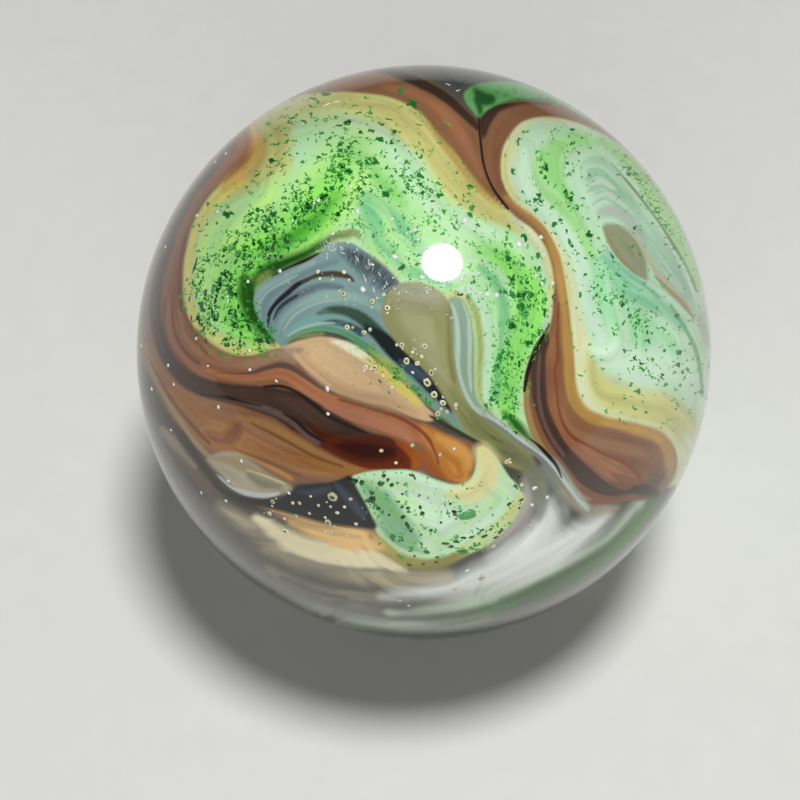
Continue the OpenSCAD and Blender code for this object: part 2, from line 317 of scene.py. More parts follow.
# %% Palette
GLASS = {
    # greys and whites of the veils
    # the darker smoke, ash and bottle green along the lower edge are painted shade
    "smoke": "57564d", "smoke_and_painted_edge_shade": "4a4944", "ash": "524f47", "ash_and_painted_edge_shade": "53534c", "dark_ash": "4d4d48",
    "sand_veil": "b9ad8c", "putty": "86806e", "bone": "f1e6bd", "grey_line": "98947f", "dove": "bbb2aa",
    "milk": "e9eee7", "pewter": "8d938c", "pearl": "c9d4c8", "drab": "a99e86", "sage": "8f9a8c",
    "pale_sage": "b8ccb3", "moss": "3d7a26", "dim_moss": "2b541f", "bottle_green_and_painted_shade": "33462c",
    # the dark channel on the left
    "olive_smoke_painted_shade": "342f20", "umber": "31271a", "brown_wisp": "583f2c", "tan_wisp": "6e5743",
    "straw": "9a8870",
    # greens
    "butter": "d2d388", "amber_butter": "cac47a", "lemon": "f2ea64", "honey": "dcae61",
    "pale_lime": "dcf4b4", "leaf": "b4ec9f", "lime_leaf": "c6f890", "mint": "c9eec6",
    "white_mint": "d2eed4", "dull_mint": "c6e4bc", "straw_mint": "def6a6", "vivid": "9af46a",
    "meadow": "8ed972", "deep_grass": "2f9a26", "jade": "80cc90", "teal": "69b681",
    "olive_green": "a4b670", "dark_green": "2c6421", "black_green": "15380f", "fern": "47702f",
    "olive_spot": "8f9a50", "pearl_green": "b9cbb6",
    # right field
    "cream": "e0e7bb", "sea_green": "a3e4ad", "sea_teal": "88cba7", "ice": "c0efd4", "pale_ice": "dcfada",
    "apple": "97de6b", "olive_line": "6f8f55", "eye_pearl": "c5eac9", "eye_line": "a7cfad",
    "eye_white": "cfe0cf", "eye_lilac": "bcccbc", "eye_grey": "a4b4a4", "eye_cream": "c8c7a9",
    "eye_tan": "ada07c", "pebble": "9a9b7b", "pebble_green": "869170", "rust_line": "998a66",
    "green_line": "79b77f",
    # browns
    "chestnut": "92684a", "russet": "855a40", "fawn": "6f5743", "chocolate": "43342b",
    "plum_brown": "523e36", "mauve": "6d5650", "black_line": "2b2220", "amber": "946132",
    "tan_amber": "a97a44", "pink_tan": "9f7657", "brown_amber": "80542f", "umber_amber": "7b4b2d",
    "burnt": "a66830", "orange_line": "c0863b", "bitter": "6f4526", "straw_edge": "9c8660",
    "salmon": "b57954", "rose_brown": "9c6349", "rose": "b2785e", "sienna": "84492f", "maroon": "4b2519",
    "garnet_dark": "692d18", "maroon_core": "3c1b18", "garnet": "923d1c", "orange": "d89c4e",
    "burnt_orange": "ba7738", "bright_orange": "d6a45b", "deep_orange": "a45b23", "plum": "66504a",
    "pink_sand": "a6896d", "red_brown": "7a4332", "light_brown": "9b7056", "dark_brown": "6b4a36",
    "orange_brown": "a76c3e", "ochre": "b28d4c", "gold": "c69c57", "tan_strip": "a48658", "ink": "393935",
    # the clear and dark windows
    "agate": "84a39f", "agate_ice": "9fb9b2", "agate_slate": "768e94", "agate_black": "26262b",
    "agate_brown": "4d443c", "agate_lilac": "66767f", "agate_ink": "343c44", "agate_pale": "93b5a8",
    "agate_green": "3c5746", "agate_teal": "7ca8a0", "agate_night": "3f5659", "slot": "24292c",
    "slot_blue": "43525f", "rim_green": "5f9a70", "rim_teal": "7d9d82", "rim_olive": "7f8a52",
    "painted_dark_window": "181a1c", "painted_dark_window_streak": "1c1f22", "blue_glint": "38434f", "brown_edge": "6f4a2a",
    "caramel": "f6ca86", "patch": "b9b29a", "patch_dull": "a59d84", "patch_white": "d0d3cc",
    "patch_grey": "878068", "patch_brown": "9b8159", "patch_line": "d7c69e", "top_slate": "575c54",
    "top_dark": "474c46",
    # peach and olive
    "peach": "d3b389", "peach_brown": "bf9a74", "ivory": "eff1cd", "yellow": "dacb6a",
    "yellow_green": "a5b660", "tan_grey": "aa8e75", "peach_line": "d5b794", "dark_olive_line": "3c3f2a",
    "olive": "979664", "olive_dull": "868c5a", "sand": "a4a584", "grit_grey": "9b9b8d",
    "olive_edge": "868456", "dark_olive": "5e6331", "grey_olive": "787b5d",
    "stripe_grey": "91ab90", "stripe_white": "b4ccb5", "stripe_dark": "8da497", "stripe_green": "b4d192",
    "tail_grey": "818e7d", "tail_white": "c5cfc4", "tail_lilac": "7f8684",
    # lower pool
    "lower_leaf": "c4edae", "lower_green": "7cc074", "lower_cream": "e6dfa2", "lower_lime": "cfd58b",
    "lower_olive": "91884a", "lime_olive": "b5ad57", "lower_teal": "86b98d", "sliver": "6cb069",
    "sliver_light": "84c882", "sliver_dark": "2c5c30", "sliver_edge": "4f7438",
}
print("glasses in the palette:", len(GLASS))

# %% [markdown]
# ## Veils below the pools
# Along the bottom the opaque whites thinned out into veils over smoky clear glass. They are
# long soft trails that follow the ball's edge, with milk at their heart and moss beyond it.
# Right at the lower edge, darker smoke, ash and bottle green are painted shade.

# %% Veils
lay("smoke", 1, pool((40, -20), (820, -20), (820, 740), (40, 740)), streak="ash")
lay("ash", 8, trail((150, 440, 6), (172, 480, 8), (197, 515, 9), (228, 547, 11), (265, 575, 11),
    (310, 598, 11), (360, 611, 9)), streak="ash_and_painted_edge_shade")
lay("sand_veil", 7, trail((222, 510, 5), (250, 530, 9), (280, 549, 10), (320, 568, 10), (370, 577, 9),
    (410, 579, 8), (450, 576, 5)), streak="putty")
lay("bone", 5, trail((258, 520, 4), (282, 538, 9), (312, 551, 11), (350, 557, 11), (385, 562, 8),
    (408, 569, 3)))
lay("grey_line", 2.5, trail((290, 557, 1.5), (320, 567, 2.5), (355, 571, 2.5), (390, 571, 2)))
lay("putty", 5, trail((270, 572, 3), (315, 590, 6), (365, 599, 6), (410, 598, 4)), streak="ash")
lay("dark_ash", 2.5, trail((282, 580, 1.5), (320, 594, 2.5), (350, 600, 2)))
lay("sage", 6, trail((282, 598, 0.4), (315, 611, 3), (350, 622, 6), (400, 626, 6), (450, 623, 6),
    (490, 614, 4)), streak="ash")
# painted shade: dark bottle green along the very bottom edge
lay("bottle_green_and_painted_shade", 4, trail((350, 634, 3), (400, 639, 4), (450, 637, 5), (500, 624, 5), (538, 608, 3)))
lay("pale_sage", 6, trail((642, 500, 5), (622, 525, 8), (595, 549, 9), (562, 569, 10), (525, 586, 10),
    (485, 599, 8), (448, 607, 5), (415, 612, 1), (392, 614, 0.4)))
lay("milk", 10, trail((608, 512, 5), (586, 530, 12), (558, 548, 17), (528, 562, 17), (492, 575, 13),
    (455, 588, 8), (415, 594, 3), (385, 597, 0.5)), trail((552, 500, 3), (552, 518, 10),
    (543, 534, 16), (522, 550, 15), (500, 562, 9)))
lay("dove", 7, trail((529, 480, 5), (528, 500, 8), (520, 518, 8), (507, 533, 5), (492, 545, 2)))
lay("pewter", 4.8, trail((528, 462, 7), (538, 480, 8), (542, 499, 6), (540, 517, 3)), streak="dove")
lay("pewter", 4.6, trail((546, 466, 5), (559, 484, 6), (567, 502, 4), (567, 520, 2)), streak="pearl",
    cover=0.8)
lay("drab", 4.6, trail((565, 489, 4), (581, 502, 6), (600, 508, 5), (618, 505, 3)), cover=0.85)
lay("moss", 4.6, trail((656, 496, 4), (642, 519, 7), (619, 542, 8), (591, 562, 8), (560, 580, 8),
    (528, 596, 7), (495, 608, 6), (462, 616, 4), (430, 621, 2)), streak="dim_moss")
lay("dim_moss", 4, trail((640, 508, 2), (612, 541, 3.4), (576, 567, 3.4), (540, 586, 3.4), (505, 600, 2)),
    cover=0.55)
# painted shade along the lower right edge
lay("smoke_and_painted_edge_shade", 5, trail((674, 502, 8), (657, 530, 8), (627, 565, 8), (592, 591, 7), (547, 613, 7),
    (505, 629, 5)))
# painted shade along the lower left edge
lay("ash_and_painted_edge_shade", 5, trail((139, 405, 4), (150, 440, 8), (165, 470, 8), (186, 505, 7)))
print("veils:", len(layers), "layers so far")

# %% [markdown]
# ## Dark channel on the left
# Between the brown fan and the veils a channel of smoky olive glass shows the dark inside
# of the ball, painted in as shade, with wisps of straw and brown drawn along it.

# %% Dark channel
lay("olive_smoke_painted_shade", 4, trail((138, 372, 4), (146, 393, 8), (159, 415, 9), (175, 437, 9), (192, 459, 8),
    (209, 480, 7), (228, 497, 6), (248, 507, 5), (268, 513, 3)), streak="umber")
lay("brown_wisp", 4, trail((163, 443, 2), (174, 461, 5), (187, 480, 6), (201, 496, 5), (213, 505, 2)),
    streak="umber")
lay("tan_wisp", 3, trail((176, 450, 2), (190, 467, 4), (205, 484, 4), (222, 500, 2)), streak="brown_wisp")
lay("straw", 4, trail((161, 431, 1), (169, 440, 3), (175, 448, 3), (184, 458, 1.8), (196, 471, 1)))
print("dark channel:", len(layers), "layers so far")

# %% [markdown]
# ## Large green field
# The main pool is apple green with a buttery rim. It was stirred: milk and mint lie in arcs
# along its upper edge, and the most colour gathered round the window, where it turns dark.

# %% Large green field
lay("butter", 3, pool((285, 80), (330, 84), (400, 96), (440, 128), (480, 178), (520, 215), (548, 255),
    (556, 300), (550, 340), (535, 370), (532, 420), (545, 452), (520, 448), (480, 425), (468, 380),
    (458, 310), (400, 292), (340, 255), (275, 290), (270, 330), (292, 362), (240, 368), (200, 352),
    (176, 320), (170, 270), (178, 220), (208, 178), (240, 150), (230, 115)), streak="amber_butter")
lay("amber_butter", 6, trail((262, 122, 5), (270, 145, 12), (262, 166, 13), (243, 181, 8), (222, 195, 5)),
    streak="butter")
lay("leaf", 6, pool((300, 118), (330, 118), (360, 123), (385, 133), (404, 148), (420, 163), (432, 180),
    (443, 195), (460, 209), (480, 221), (500, 229), (520, 235), (536, 246), (545, 262), (549, 285),
    (548, 310), (543, 330), (534, 344), (529, 360), (524, 380), (523, 400), (527, 420), (534, 438),
    (520, 434), (502, 422), (488, 408), (480, 395), (478, 370), (477, 340), (472, 310), (462, 295),
    (440, 285), (420, 280), (400, 285), (392, 272), (375, 258), (358, 252), (345, 246), (332, 246),
    (318, 256), (303, 266), (287, 273), (272, 280), (262, 288), (256, 305), (264, 325), (277, 342),
    (262, 347), (245, 348), (225, 344), (208, 334), (197, 318), (192, 298), (190, 275), (194, 250),
    (202, 228), (214, 211), (232, 202), (255, 197), (275, 188), (286, 170), (287, 148), (290, 130)),
    streak="mint")
lay("mint", 6, trail((308, 124, 4), (338, 128, 6), (365, 137, 7), (388, 151, 8), (404, 169, 8),
    (418, 189, 9), (432, 206, 9), (455, 220, 8), (485, 230, 6), (512, 236, 4)), streak="leaf")
lay("straw_mint", 5, trail((197, 290, 3), (199, 262, 5), (206, 240, 6), (220, 222, 5), (240, 210, 4),
    (262, 203, 3), (285, 196, 2)))
lay("lime_leaf", 12, trail((362, 132, 8), (348, 164, 26), (322, 192, 36), (290, 216, 42), (256, 242, 40),
    (226, 268, 34), (212, 296, 26), (222, 322, 24), (250, 336, 12)), streak="leaf")
lay("lemon", 4, trail((238, 183, 3), (222, 193, 5), (207, 207, 6), (196, 223, 6), (189, 243, 6),
    (185, 265, 6.5), (185, 288, 6.5), (189, 311, 7), (199, 330, 8), (217, 343, 8), (240, 348, 7),
    (260, 347, 4)), streak="butter", cover=0.85)
lay("pale_lime", 8, trail((288, 124, 5), (318, 118, 8), (350, 124, 9), (378, 134, 6)), cover=0.75)
lay("vivid", 13, trail((352, 146, 3), (340, 168, 11), (324, 196, 19), (300, 222, 24), (270, 244, 24),
    (246, 268, 22), (236, 292, 20), (238, 316, 16), (250, 334, 10)), streak="meadow")
lay("jade", 8, trail((362, 200, 6), (376, 216, 14), (392, 236, 18), (414, 262, 14), (442, 286, 8)),
    streak="leaf")
lay("meadow", 6, trail((338, 150, 5), (358, 158, 8), (372, 172, 6)), trail((372, 178, 5), (388, 190, 9),
    (400, 203, 6)), streak="leaf")
lay("deep_grass", 11, trail((334, 196, 3), (318, 214, 7), (294, 236, 9), (266, 258, 7), (247, 280, 9),
    (233, 303, 12), (236, 324, 12), (256, 338, 8)), streak="vivid", cover=0.85)
lay("meadow", 8, trail((480, 248, 6), (505, 262, 12), (525, 285, 16), (527, 315, 16), (515, 345, 15),
    (508, 375, 14), (505, 400, 10), (515, 420, 6)), streak="vivid")
lay("dull_mint", 4.5, trail((330, 119, 1), (360, 125, 2.5), (385, 136, 3), (403, 151, 3), (418, 170, 3),
    (428, 192, 3), (437, 212, 3)))
lay("teal", 5, trail((480, 268, 6), (495, 284, 8), (502, 310, 6), (500, 340, 4), (496, 370, 4),
    (494, 395, 3)), streak="jade", cover=0.8)
lay("olive_green", 3, trail((466, 295, 3), (475, 315, 4), (479, 345, 3.5), (479, 375, 3), (480, 398, 2.5),
    (490, 411, 2)))
lay("fern", 4, trail((504, 411, 2), (516, 422, 5), (527, 434, 4), (535, 442, 2)), streak="dark_green")
lay("pearl_green", 3, trail((509, 216, 2), (522, 227, 3.5), (534, 241, 4), (542, 258, 3.5), (547, 275, 3),
    (549, 295, 2.5), (547, 315, 2.5), (541, 332, 2)))
lay("dark_green", 5, trail((252, 286, 4), (264, 274, 7), (285, 264, 7), (303, 256, 6), (318, 247, 5),
    (332, 238, 4), (346, 236, 3)), streak="black_green")
lay("black_green", 4, trail((243, 282, 5), (246, 298, 9), (251, 315, 8), (261, 330, 6), (272, 343, 4)),
    streak="dark_green")
lay("olive_spot", 3, trail((256, 284, 2), (262, 278, 3.5), (269, 274, 2)), trail((328, 241, 1.5),
    (340, 236, 3.4), (350, 233, 4), (357, 238, 2)))
print("large green field:", len(layers), "layers so far")

# %% [markdown]
# ## Right field and its eye
# A second pool of mint lies to the right. Round its upper end the layers were cut through,
# so that they show as the rings of an eye, pale stripes round a lens of grey-brown glass.

# %% Right field
lay("cream", 3, pool((500, 112), (540, 105), (600, 114), (655, 150), (695, 210), (722, 290), (728, 360),
    (718, 440), (692, 480), (640, 475), (590, 450), (560, 400), (548, 340), (545, 270), (520, 225),
    (492, 190), (485, 150)), streak="butter")
lay("mint", 6, pool((528, 124), (545, 121), (575, 126), (600, 135), (625, 152), (650, 178), (672, 212),
    (690, 250), (704, 290), (714, 340), (714, 400), (700, 440), (690, 448), (684, 430), (682, 405),
    (677, 392), (665, 385), (640, 386), (618, 384), (602, 375), (594, 355), (588, 335), (582, 315),
    (577, 295), (572, 275), (565, 255), (553, 235), (538, 218), (524, 205), (515, 190), (511, 170),
    (514, 150), (520, 135)), streak="white_mint")
lay("leaf", 6, trail((600, 140, 4), (575, 138, 8), (553, 148, 14), (545, 168, 15), (552, 190, 13),
    (566, 212, 9), (580, 235, 6), (588, 255, 4)), streak="meadow")
lay("white_mint", 4, trail((519, 150, 2), (521, 172, 3.5), (530, 192, 3.5), (545, 208, 3.5),
    (560, 225, 4), (574, 250, 5), (583, 280, 6), (590, 310, 6), (600, 335, 4)), streak="mint")
lay("sea_green", 9, trail((592, 262, 5), (603, 290, 12), (622, 315, 16), (648, 335, 16), (672, 350, 10)),
    streak="mint")
lay("sea_teal", 6, trail((600, 255, 3), (618, 280, 9), (640, 296, 10), (665, 307, 7), (680, 322, 4)),
    streak="sea_green")
lay("ice", 7, trail((655, 350, 8), (672, 372, 12), (685, 400, 9), (690, 428, 5)), streak="mint")
lay("butter", 9, trail((586, 358, 4), (604, 384, 10), (638, 400, 13), (672, 408, 15), (694, 424, 11)),
    cover=0.9)
lay("pale_ice", 10, trail((600, 348, 6), (636, 360, 12), (668, 364, 12), (694, 372, 10)), cover=0.85)
lay("green_line", 1.5, trail((668, 300, 1), (682, 322, 1.8), (693, 342, 2), (699, 365, 2),
    (702, 392, 1.5)))
lay("pearl_green", 3, trail((690, 298, 3), (699, 316, 5), (707, 340, 4)))
print("right field:", len(layers), "layers so far")

# %% Eye of the right field
lay("eye_pearl", 2, pool((576, 168), (580, 161), (590, 158), (602, 160), (614, 170), (628, 186),
    (642, 205), (656, 226), (669, 248), (681, 270), (690, 290), (697, 310), (688, 312), (676, 300),
    (664, 289), (652, 281), (640, 274), (628, 266), (616, 254), (606, 240), (599, 224), (592, 210),
    (585, 197), (578, 184)), streak="eye_line")
lay("apple", 2.5, trail((596, 138, 2), (610, 148, 5), (626, 162, 7), (643, 183, 8), (658, 205, 9),
    (673, 230, 9), (685, 255, 7), (694, 279, 4)), streak="leaf")
lay("olive_line", 1.3, trail((606, 160, 0.6), (630, 187, 1.2), (650, 212, 1.4), (668, 238, 1.4),
    (684, 264, 1.2), (694, 288, 1)))
lay("eye_line", 1.3, trail((580, 178, 0.8), (592, 173, 1.2), (604, 176, 1.2), (614, 186, 0.8)),
    trail((583, 190, 0.8), (594, 184, 1.2), (607, 188, 1.4), (619, 199, 1.2)), trail((588, 203, 0.8),
    (600, 196, 1.2), (614, 203, 1.4), (628, 218, 1.2)))
lay("eye_white", 1.3, trail((584, 184, 1), (597, 179, 1.8), (612, 187, 1.5)), trail((590, 197, 1.2),
    (603, 191, 2), (618, 200, 1.5)))
lay("eye_lilac", 3, trail((597, 210, 4), (610, 208, 6), (624, 216, 5), (634, 230, 3)))
lay("eye_grey", 3, trail((636, 226, 2), (648, 245, 4), (662, 264, 4), (678, 286, 3)), streak="eye_pearl")
lay("pebble", 2.8, pool((599, 223), (606, 221), (618, 223), (629, 231), (638, 243), (643, 256),
    (645, 268), (645, 277), (637, 275), (625, 266), (614, 255), (605, 240)), streak="pebble_green",
    cover=0.92)
lay("rust_line", 2.2, trail((600, 224, 0.8), (605, 236, 1.8), (612, 249, 1.6), (622, 261, 1.2),
    (634, 271, 0.8)), cover=0.7)
lay("eye_cream", 1.5, trail((620, 223, 1), (634, 236, 1.8), (643, 251, 2), (651, 265, 2.4), (662, 277, 3),
    (676, 291, 3), (690, 306, 2)))
lay("eye_tan", 1.3, trail((652, 272, 1), (666, 286, 1.8), (680, 299, 2), (692, 314, 1.6)))
lay("sea_teal", 1.8, trail((602, 243, 1), (612, 258, 2), (626, 271, 2.4), (642, 282, 2.4), (658, 294, 2)))
print("eye of the right field:", len(layers), "layers so far")

# %% [markdown]
# ## Brown ribbons
# Two ribbons of amber and chestnut glass run down from the top and part round the green.
# Each is a bundle of drawn-out strands, so it is laid as a pool with finer trails inside.

# %% Right ribbon
lay("chestnut", 2, pool((475, 130), (478, 118), (486, 109), (497, 103), (515, 100), (530, 99), (545, 101),
    (560, 105), (580, 115), (600, 124), (616, 135), (632, 147), (650, 160), (670, 180), (700, 220),
    (690, 240), (670, 205), (655, 183), (640, 165), (624, 150), (608, 138), (592, 129), (576, 122),
    (560, 118), (545, 116), (530, 117), (518, 121), (510, 128), (504, 137), (499, 147), (497, 158),
    (497, 171), (500, 183), (505, 193), (512, 202), (522, 210), (533, 218), (543, 228), (550, 240),
    (556, 253), (560, 268), (563, 284), (566, 302), (569, 322), (571, 342), (573, 362), (574, 380),
    (577, 394), (583, 404), (592, 412), (604, 416), (618, 418), (633, 422), (648, 426), (660, 430),
    (670, 437), (676, 446), (678, 458), (676, 470), (671, 480), (664, 487), (655, 492), (643, 496),
    (628, 498), (612, 501), (597, 501), (584, 497), (573, 489), (564, 478), (557, 467), (550, 457),
    (542, 447), (534, 436), (529, 424), (525, 410), (524, 397), (525, 382), (528, 368), (531, 356),
    (535, 345), (540, 338), (546, 330), (549, 318), (551, 305), (552, 290), (551, 273), (548, 259),
    (543, 246), (536, 235), (527, 226), (518, 220), (509, 213), (502, 205), (494, 195), (487, 184),
    (482, 172), (479, 160), (477, 145)), streak="russet")
lay("chocolate", 2.5, trail((478, 136, 3), (480, 124, 5), (485, 114, 5.5), (494, 107, 4), (507, 104, 2.5),
    (525, 102, 1.5), (545, 103, 1)), streak="plum_brown")
lay("ochre", 3, trail((503, 196, 1), (513, 205, 2), (527, 215, 3), (540, 228, 3.5), (549, 244, 4),
    (555, 262, 4), (559, 285, 4), (562, 305, 4), (565, 330, 4), (568, 355, 4.5), (570, 378, 5),
    (575, 397, 6), (585, 410, 6), (600, 417, 5.5), (620, 421, 5.5), (640, 426, 6), (658, 432, 6.5),
    (668, 444, 6), (671, 458, 4), (669, 470, 3)), streak="gold")
lay("salmon", 3, trail((551, 335, 2), (550, 360, 3.5), (551, 385, 4), (555, 410, 5), (565, 430, 6),
    (585, 448, 7), (608, 462, 8), (628, 475, 8), (640, 478, 5)), streak="russet",
    cover=0.65)
lay("chocolate", 6, trail((584, 474, 3), (604, 484, 6), (628, 487, 8), (650, 482, 7), (664, 470, 4)),
    streak="russet", cover=0.75)
lay("pink_tan", 3, trail((562, 405, 2), (568, 422, 3.5), (582, 433, 4), (602, 440, 4), (625, 445, 4),
    (650, 452, 3)), streak="chestnut")
lay("chocolate", 1.8, pool((547, 330), (541, 338), (535, 346), (532, 357), (530, 370), (531, 385),
    (533, 400), (538, 415), (544, 430), (552, 444), (562, 457), (572, 470), (584, 482), (598, 490),
    (614, 493), (630, 491), (645, 489), (655, 486), (650, 481), (638, 482), (625, 486), (613, 482),
    (600, 473), (588, 462), (578, 452), (568, 442), (560, 430), (553, 417), (548, 402), (546, 385),
    (545, 368), (545, 352), (548, 340)), streak="plum_brown")
lay("gold", 3, trail((600, 419, 1), (622, 423, 3), (645, 428, 4), (660, 436, 4)))
lay("mauve", 1.5, trail((539, 350, 1), (538, 375, 1.8), (539, 398, 2), (544, 418, 2), (553, 437, 2.2),
    (565, 453, 2)))
lay("tan_strip", 1.5, trail((527, 385, 1.5), (527, 402, 2.5), (531, 420, 3), (538, 437, 3),
    (548, 451, 2.5), (558, 464, 2), (568, 478, 2), (578, 489, 2), (592, 497, 1.5)))
lay("sienna", 1.3, trail((557, 300, 0.8), (556, 330, 1.2), (557, 355, 1.4), (554, 368, 1.4),
    (556, 385, 1.4), (558, 402, 1.4), (563, 420, 1.4), (573, 434, 1.4), (590, 443, 1.4), (607, 452, 1.8),
    (623, 458, 1.8), (636, 467, 1.5), (642, 476, 1)))
lay("ink", 3, trail((637, 485, 3), (648, 487, 5), (657, 489, 4)))
print("right ribbon:", len(layers), "layers so far")

# %% Left ribbon, upper part
lay("chestnut", 2, pool((262, 92), (300, 78), (340, 66), (375, 60), (400, 64), (418, 72), (434, 82),
    (448, 92), (460, 104), (470, 116), (475, 128), (477, 145), (479, 160), (482, 172), (487, 184),
    (494, 195), (502, 205), (509, 213), (500, 207), (490, 199), (480, 190), (472, 181), (464, 171),
    (455, 158), (445, 147), (435, 137), (427, 127), (420, 118), (411, 110), (400, 104), (382, 98),
    (360, 95), (340, 94), (320, 95), (300, 97), (282, 102)), streak="russet")
lay("chocolate", 2, trail((345, 70, 2), (372, 70, 3.5), (395, 76, 4.5), (415, 84, 5), (434, 93, 5),
    (450, 104, 5.5), (464, 117, 5), (473, 128, 2.5)), streak="plum_brown")
lay("salmon", 4, trail((380, 88, 2), (410, 95, 3), (435, 110, 4), (455, 132, 4), (468, 155, 3),
    (478, 175, 2)), streak="chestnut", cover=0.7)
lay("ochre", 3, trail((405, 110, 1), (424, 126, 2.5), (442, 147, 3), (460, 170, 3.5), (480, 192, 3),
    (498, 207, 2)), cover=0.8)
lay("fawn", 1.5, trail((375, 63, 1), (395, 69, 1.5), (415, 76, 1.5), (432, 85, 1.5), (447, 95, 1.5),
    (459, 106, 1.2), (470, 117, 1)))
print("left ribbon, upper part:", len(layers), "layers so far")

# %% Left ribbon and fan
lay("chestnut", 1.8, pool((215, 112), (238, 122), (246, 130), (250, 140), (251, 151), (247, 162),
    (239, 172), (228, 180), (217, 188), (208, 198), (199, 211), (192, 225), (186, 242), (182, 265),
    (181, 290), (183, 308), (188, 322), (195, 333), (203, 341), (213, 349), (225, 355), (240, 358),
    (255, 357), (270, 352), (282, 350), (288, 355), (297, 364), (308, 374), (320, 384), (335, 393),
    (350, 398), (365, 402), (380, 405), (400, 412), (415, 418), (430, 424), (445, 431), (460, 437),
    (470, 440), (477, 446), (478, 453), (476, 466), (472, 476), (466, 482), (455, 483), (442, 480),
    (432, 476), (420, 472), (410, 470), (395, 470), (380, 471), (365, 473), (350, 477), (335, 483),
    (315, 485), (300, 486), (292, 487), (283, 483), (268, 474), (255, 465), (240, 458), (230, 455),
    (215, 457), (207, 461), (203, 456), (193, 444), (180, 428), (168, 411), (158, 394), (150, 378),
    (143, 360), (137, 345), (112, 330), (102, 270), (125, 200), (170, 145)), streak="russet")
lay("orange_brown", 4, trail((240, 134, 4), (243, 148, 9), (235, 163, 8), (220, 178, 5), (206, 192, 3)),
    streak="chestnut")
lay("honey", 5, trail((244, 124, 3), (254, 140, 6), (257, 153, 8), (250, 168, 7), (236, 180, 5),
    (222, 190, 3)), streak="amber_butter", cover=0.85)
lay("fawn", 3, trail((222, 136, 3), (203, 156, 4), (178, 188, 5), (157, 226, 5), (145, 268, 5),
    (140, 308, 5), (142, 342, 5), (150, 370, 4), (160, 390, 2)), streak="chestnut")
lay("pink_sand", 3, trail((196, 336, 3), (207, 350, 5), (223, 361, 6), (243, 366, 6), (262, 363, 5),
    (280, 358, 4), (294, 363, 3)), streak="light_brown")
lay("amber", 4, trail((147, 352, 4), (158, 380, 7), (178, 408, 12), (206, 430, 15), (240, 440, 16),
    (275, 450, 16), (308, 462, 15), (338, 468, 10), (365, 468, 5)), streak="tan_amber")
lay("chocolate", 2.5, trail((236, 140, 1.5), (222, 155, 2.5), (204, 178, 3.5), (186, 204, 4),
    (170, 236, 4.5), (159, 270, 5), (154, 300, 5.5), (155, 325, 6), (161, 348, 7), (172, 368, 8.5),
    (187, 383, 9), (205, 391, 9), (228, 396, 9.5), (252, 400, 12), (278, 405, 15), (300, 414, 18),
    (322, 425, 17), (345, 434, 12), (368, 440, 8), (390, 442, 4)), streak="plum_brown")
lay("tan_amber", 3, trail((238, 420, 2), (262, 427, 4), (290, 441, 5), (318, 456, 5), (345, 466, 3)),
    streak="pink_tan")
lay("pink_tan", 4, trail((240, 424, 2), (262, 433, 5), (285, 444, 5), (305, 452, 3)), streak="amber")
lay("umber_amber", 4, trail((208, 438, 2), (222, 446, 5), (233, 438, 5), (238, 428, 3)), streak="burnt")
lay("burnt", 2.5, trail((200, 438, 1.5), (212, 447, 3), (228, 451, 3), (248, 456, 2)))
lay("orange_line", 2, trail((236, 454, 1), (255, 461, 2.2), (275, 471, 2.5), (293, 481, 2)))
lay("salmon", 2, trail((205, 373, 2), (225, 378, 4), (247, 379, 4.5), (263, 377, 5), (277, 375, 5.5),
    (290, 378, 6), (304, 387, 6.5), (320, 397, 7), (338, 406, 8), (360, 414, 9), (385, 422, 9),
    (410, 430, 9), (432, 438, 9)), streak="rose_brown")
lay("rose", 3, trail((325, 407, 2), (345, 414, 4), (370, 421, 5), (395, 429, 5), (412, 440, 3)),
    streak="salmon")
lay("maroon", 3.5, pool((316, 444), (328, 443), (342, 440), (358, 437), (375, 436), (390, 438),
    (402, 443), (411, 451), (418, 460), (418, 467), (408, 470), (390, 470), (372, 468), (355, 464),
    (340, 458), (328, 451)), streak="garnet_dark")
lay("maroon", 6, trail((296, 428, 3), (322, 438, 8), (350, 450, 10), (382, 457, 9), (408, 462, 5)),
    streak="garnet_dark")
lay("maroon_core", 4, trail((338, 447, 2), (355, 450, 6), (375, 452, 7), (392, 453, 5)))
lay("orange", 5, trail((424, 428, 4), (435, 440, 9), (446, 453, 13), (455, 466, 14), (462, 474, 9)),
    streak="burnt_orange")
lay("garnet", 3, trail((398, 442, 2), (410, 450, 4), (418, 460, 5), (416, 466, 4)), streak="deep_orange")
lay("bright_orange", 4, trail((438, 436, 3), (455, 445, 6), (468, 455, 5), (470, 467, 3)),
    streak="orange")
lay("deep_orange", 4, trail((425, 453, 3), (433, 465, 4), (441, 474, 3)))
lay("garnet_dark", 2, trail((345, 460, 1), (365, 466, 2.5), (390, 467, 2.5), (410, 466, 2)))
lay("mauve", 2, trail((225, 404, 1.5), (250, 407, 2.5), (272, 413, 3), (292, 423, 3.5), (308, 436, 4),
    (318, 445, 3)), streak="chocolate")
lay("black_line", 1.3, trail((200, 398, 0.8), (225, 400, 1.2), (245, 405, 1.2), (262, 408, 0.8)),
    trail((283, 415, 0.8), (297, 423, 1.6), (310, 435, 1.6), (325, 443, 1)), trail((262, 389, 1),
    (280, 388, 1.5), (295, 393, 1.5), (312, 405, 1.5), (330, 418, 1.2), (350, 427, 1), (368, 434, 1)))
lay("brown_amber", 1.5, trail((250, 425, 0.8), (285, 442, 1.5), (315, 458, 1.5), (345, 468, 1)),
    trail((232, 451, 1), (252, 458, 1.5), (278, 468, 1.8), (302, 478, 1.2)))
lay("bitter", 1.5, trail((150, 366, 1), (164, 392, 1.6), (180, 415, 1.8), (196, 433, 2), (210, 447, 2)))
lay("straw_edge", 1.3, trail((146, 364, 0.8), (158, 390, 1.5), (172, 413, 1.8), (188, 436, 2),
    (202, 453, 2.5), (210, 460, 2)))
lay("sienna", 1.3, trail((338, 400, 1), (365, 407, 1.5), (392, 415, 1.8), (412, 424, 1.8),
    (428, 437, 1.8), (436, 452, 1.5), (440, 465, 1)), trail((236, 138, 1), (232, 150, 1.5),
    (226, 160, 1)))
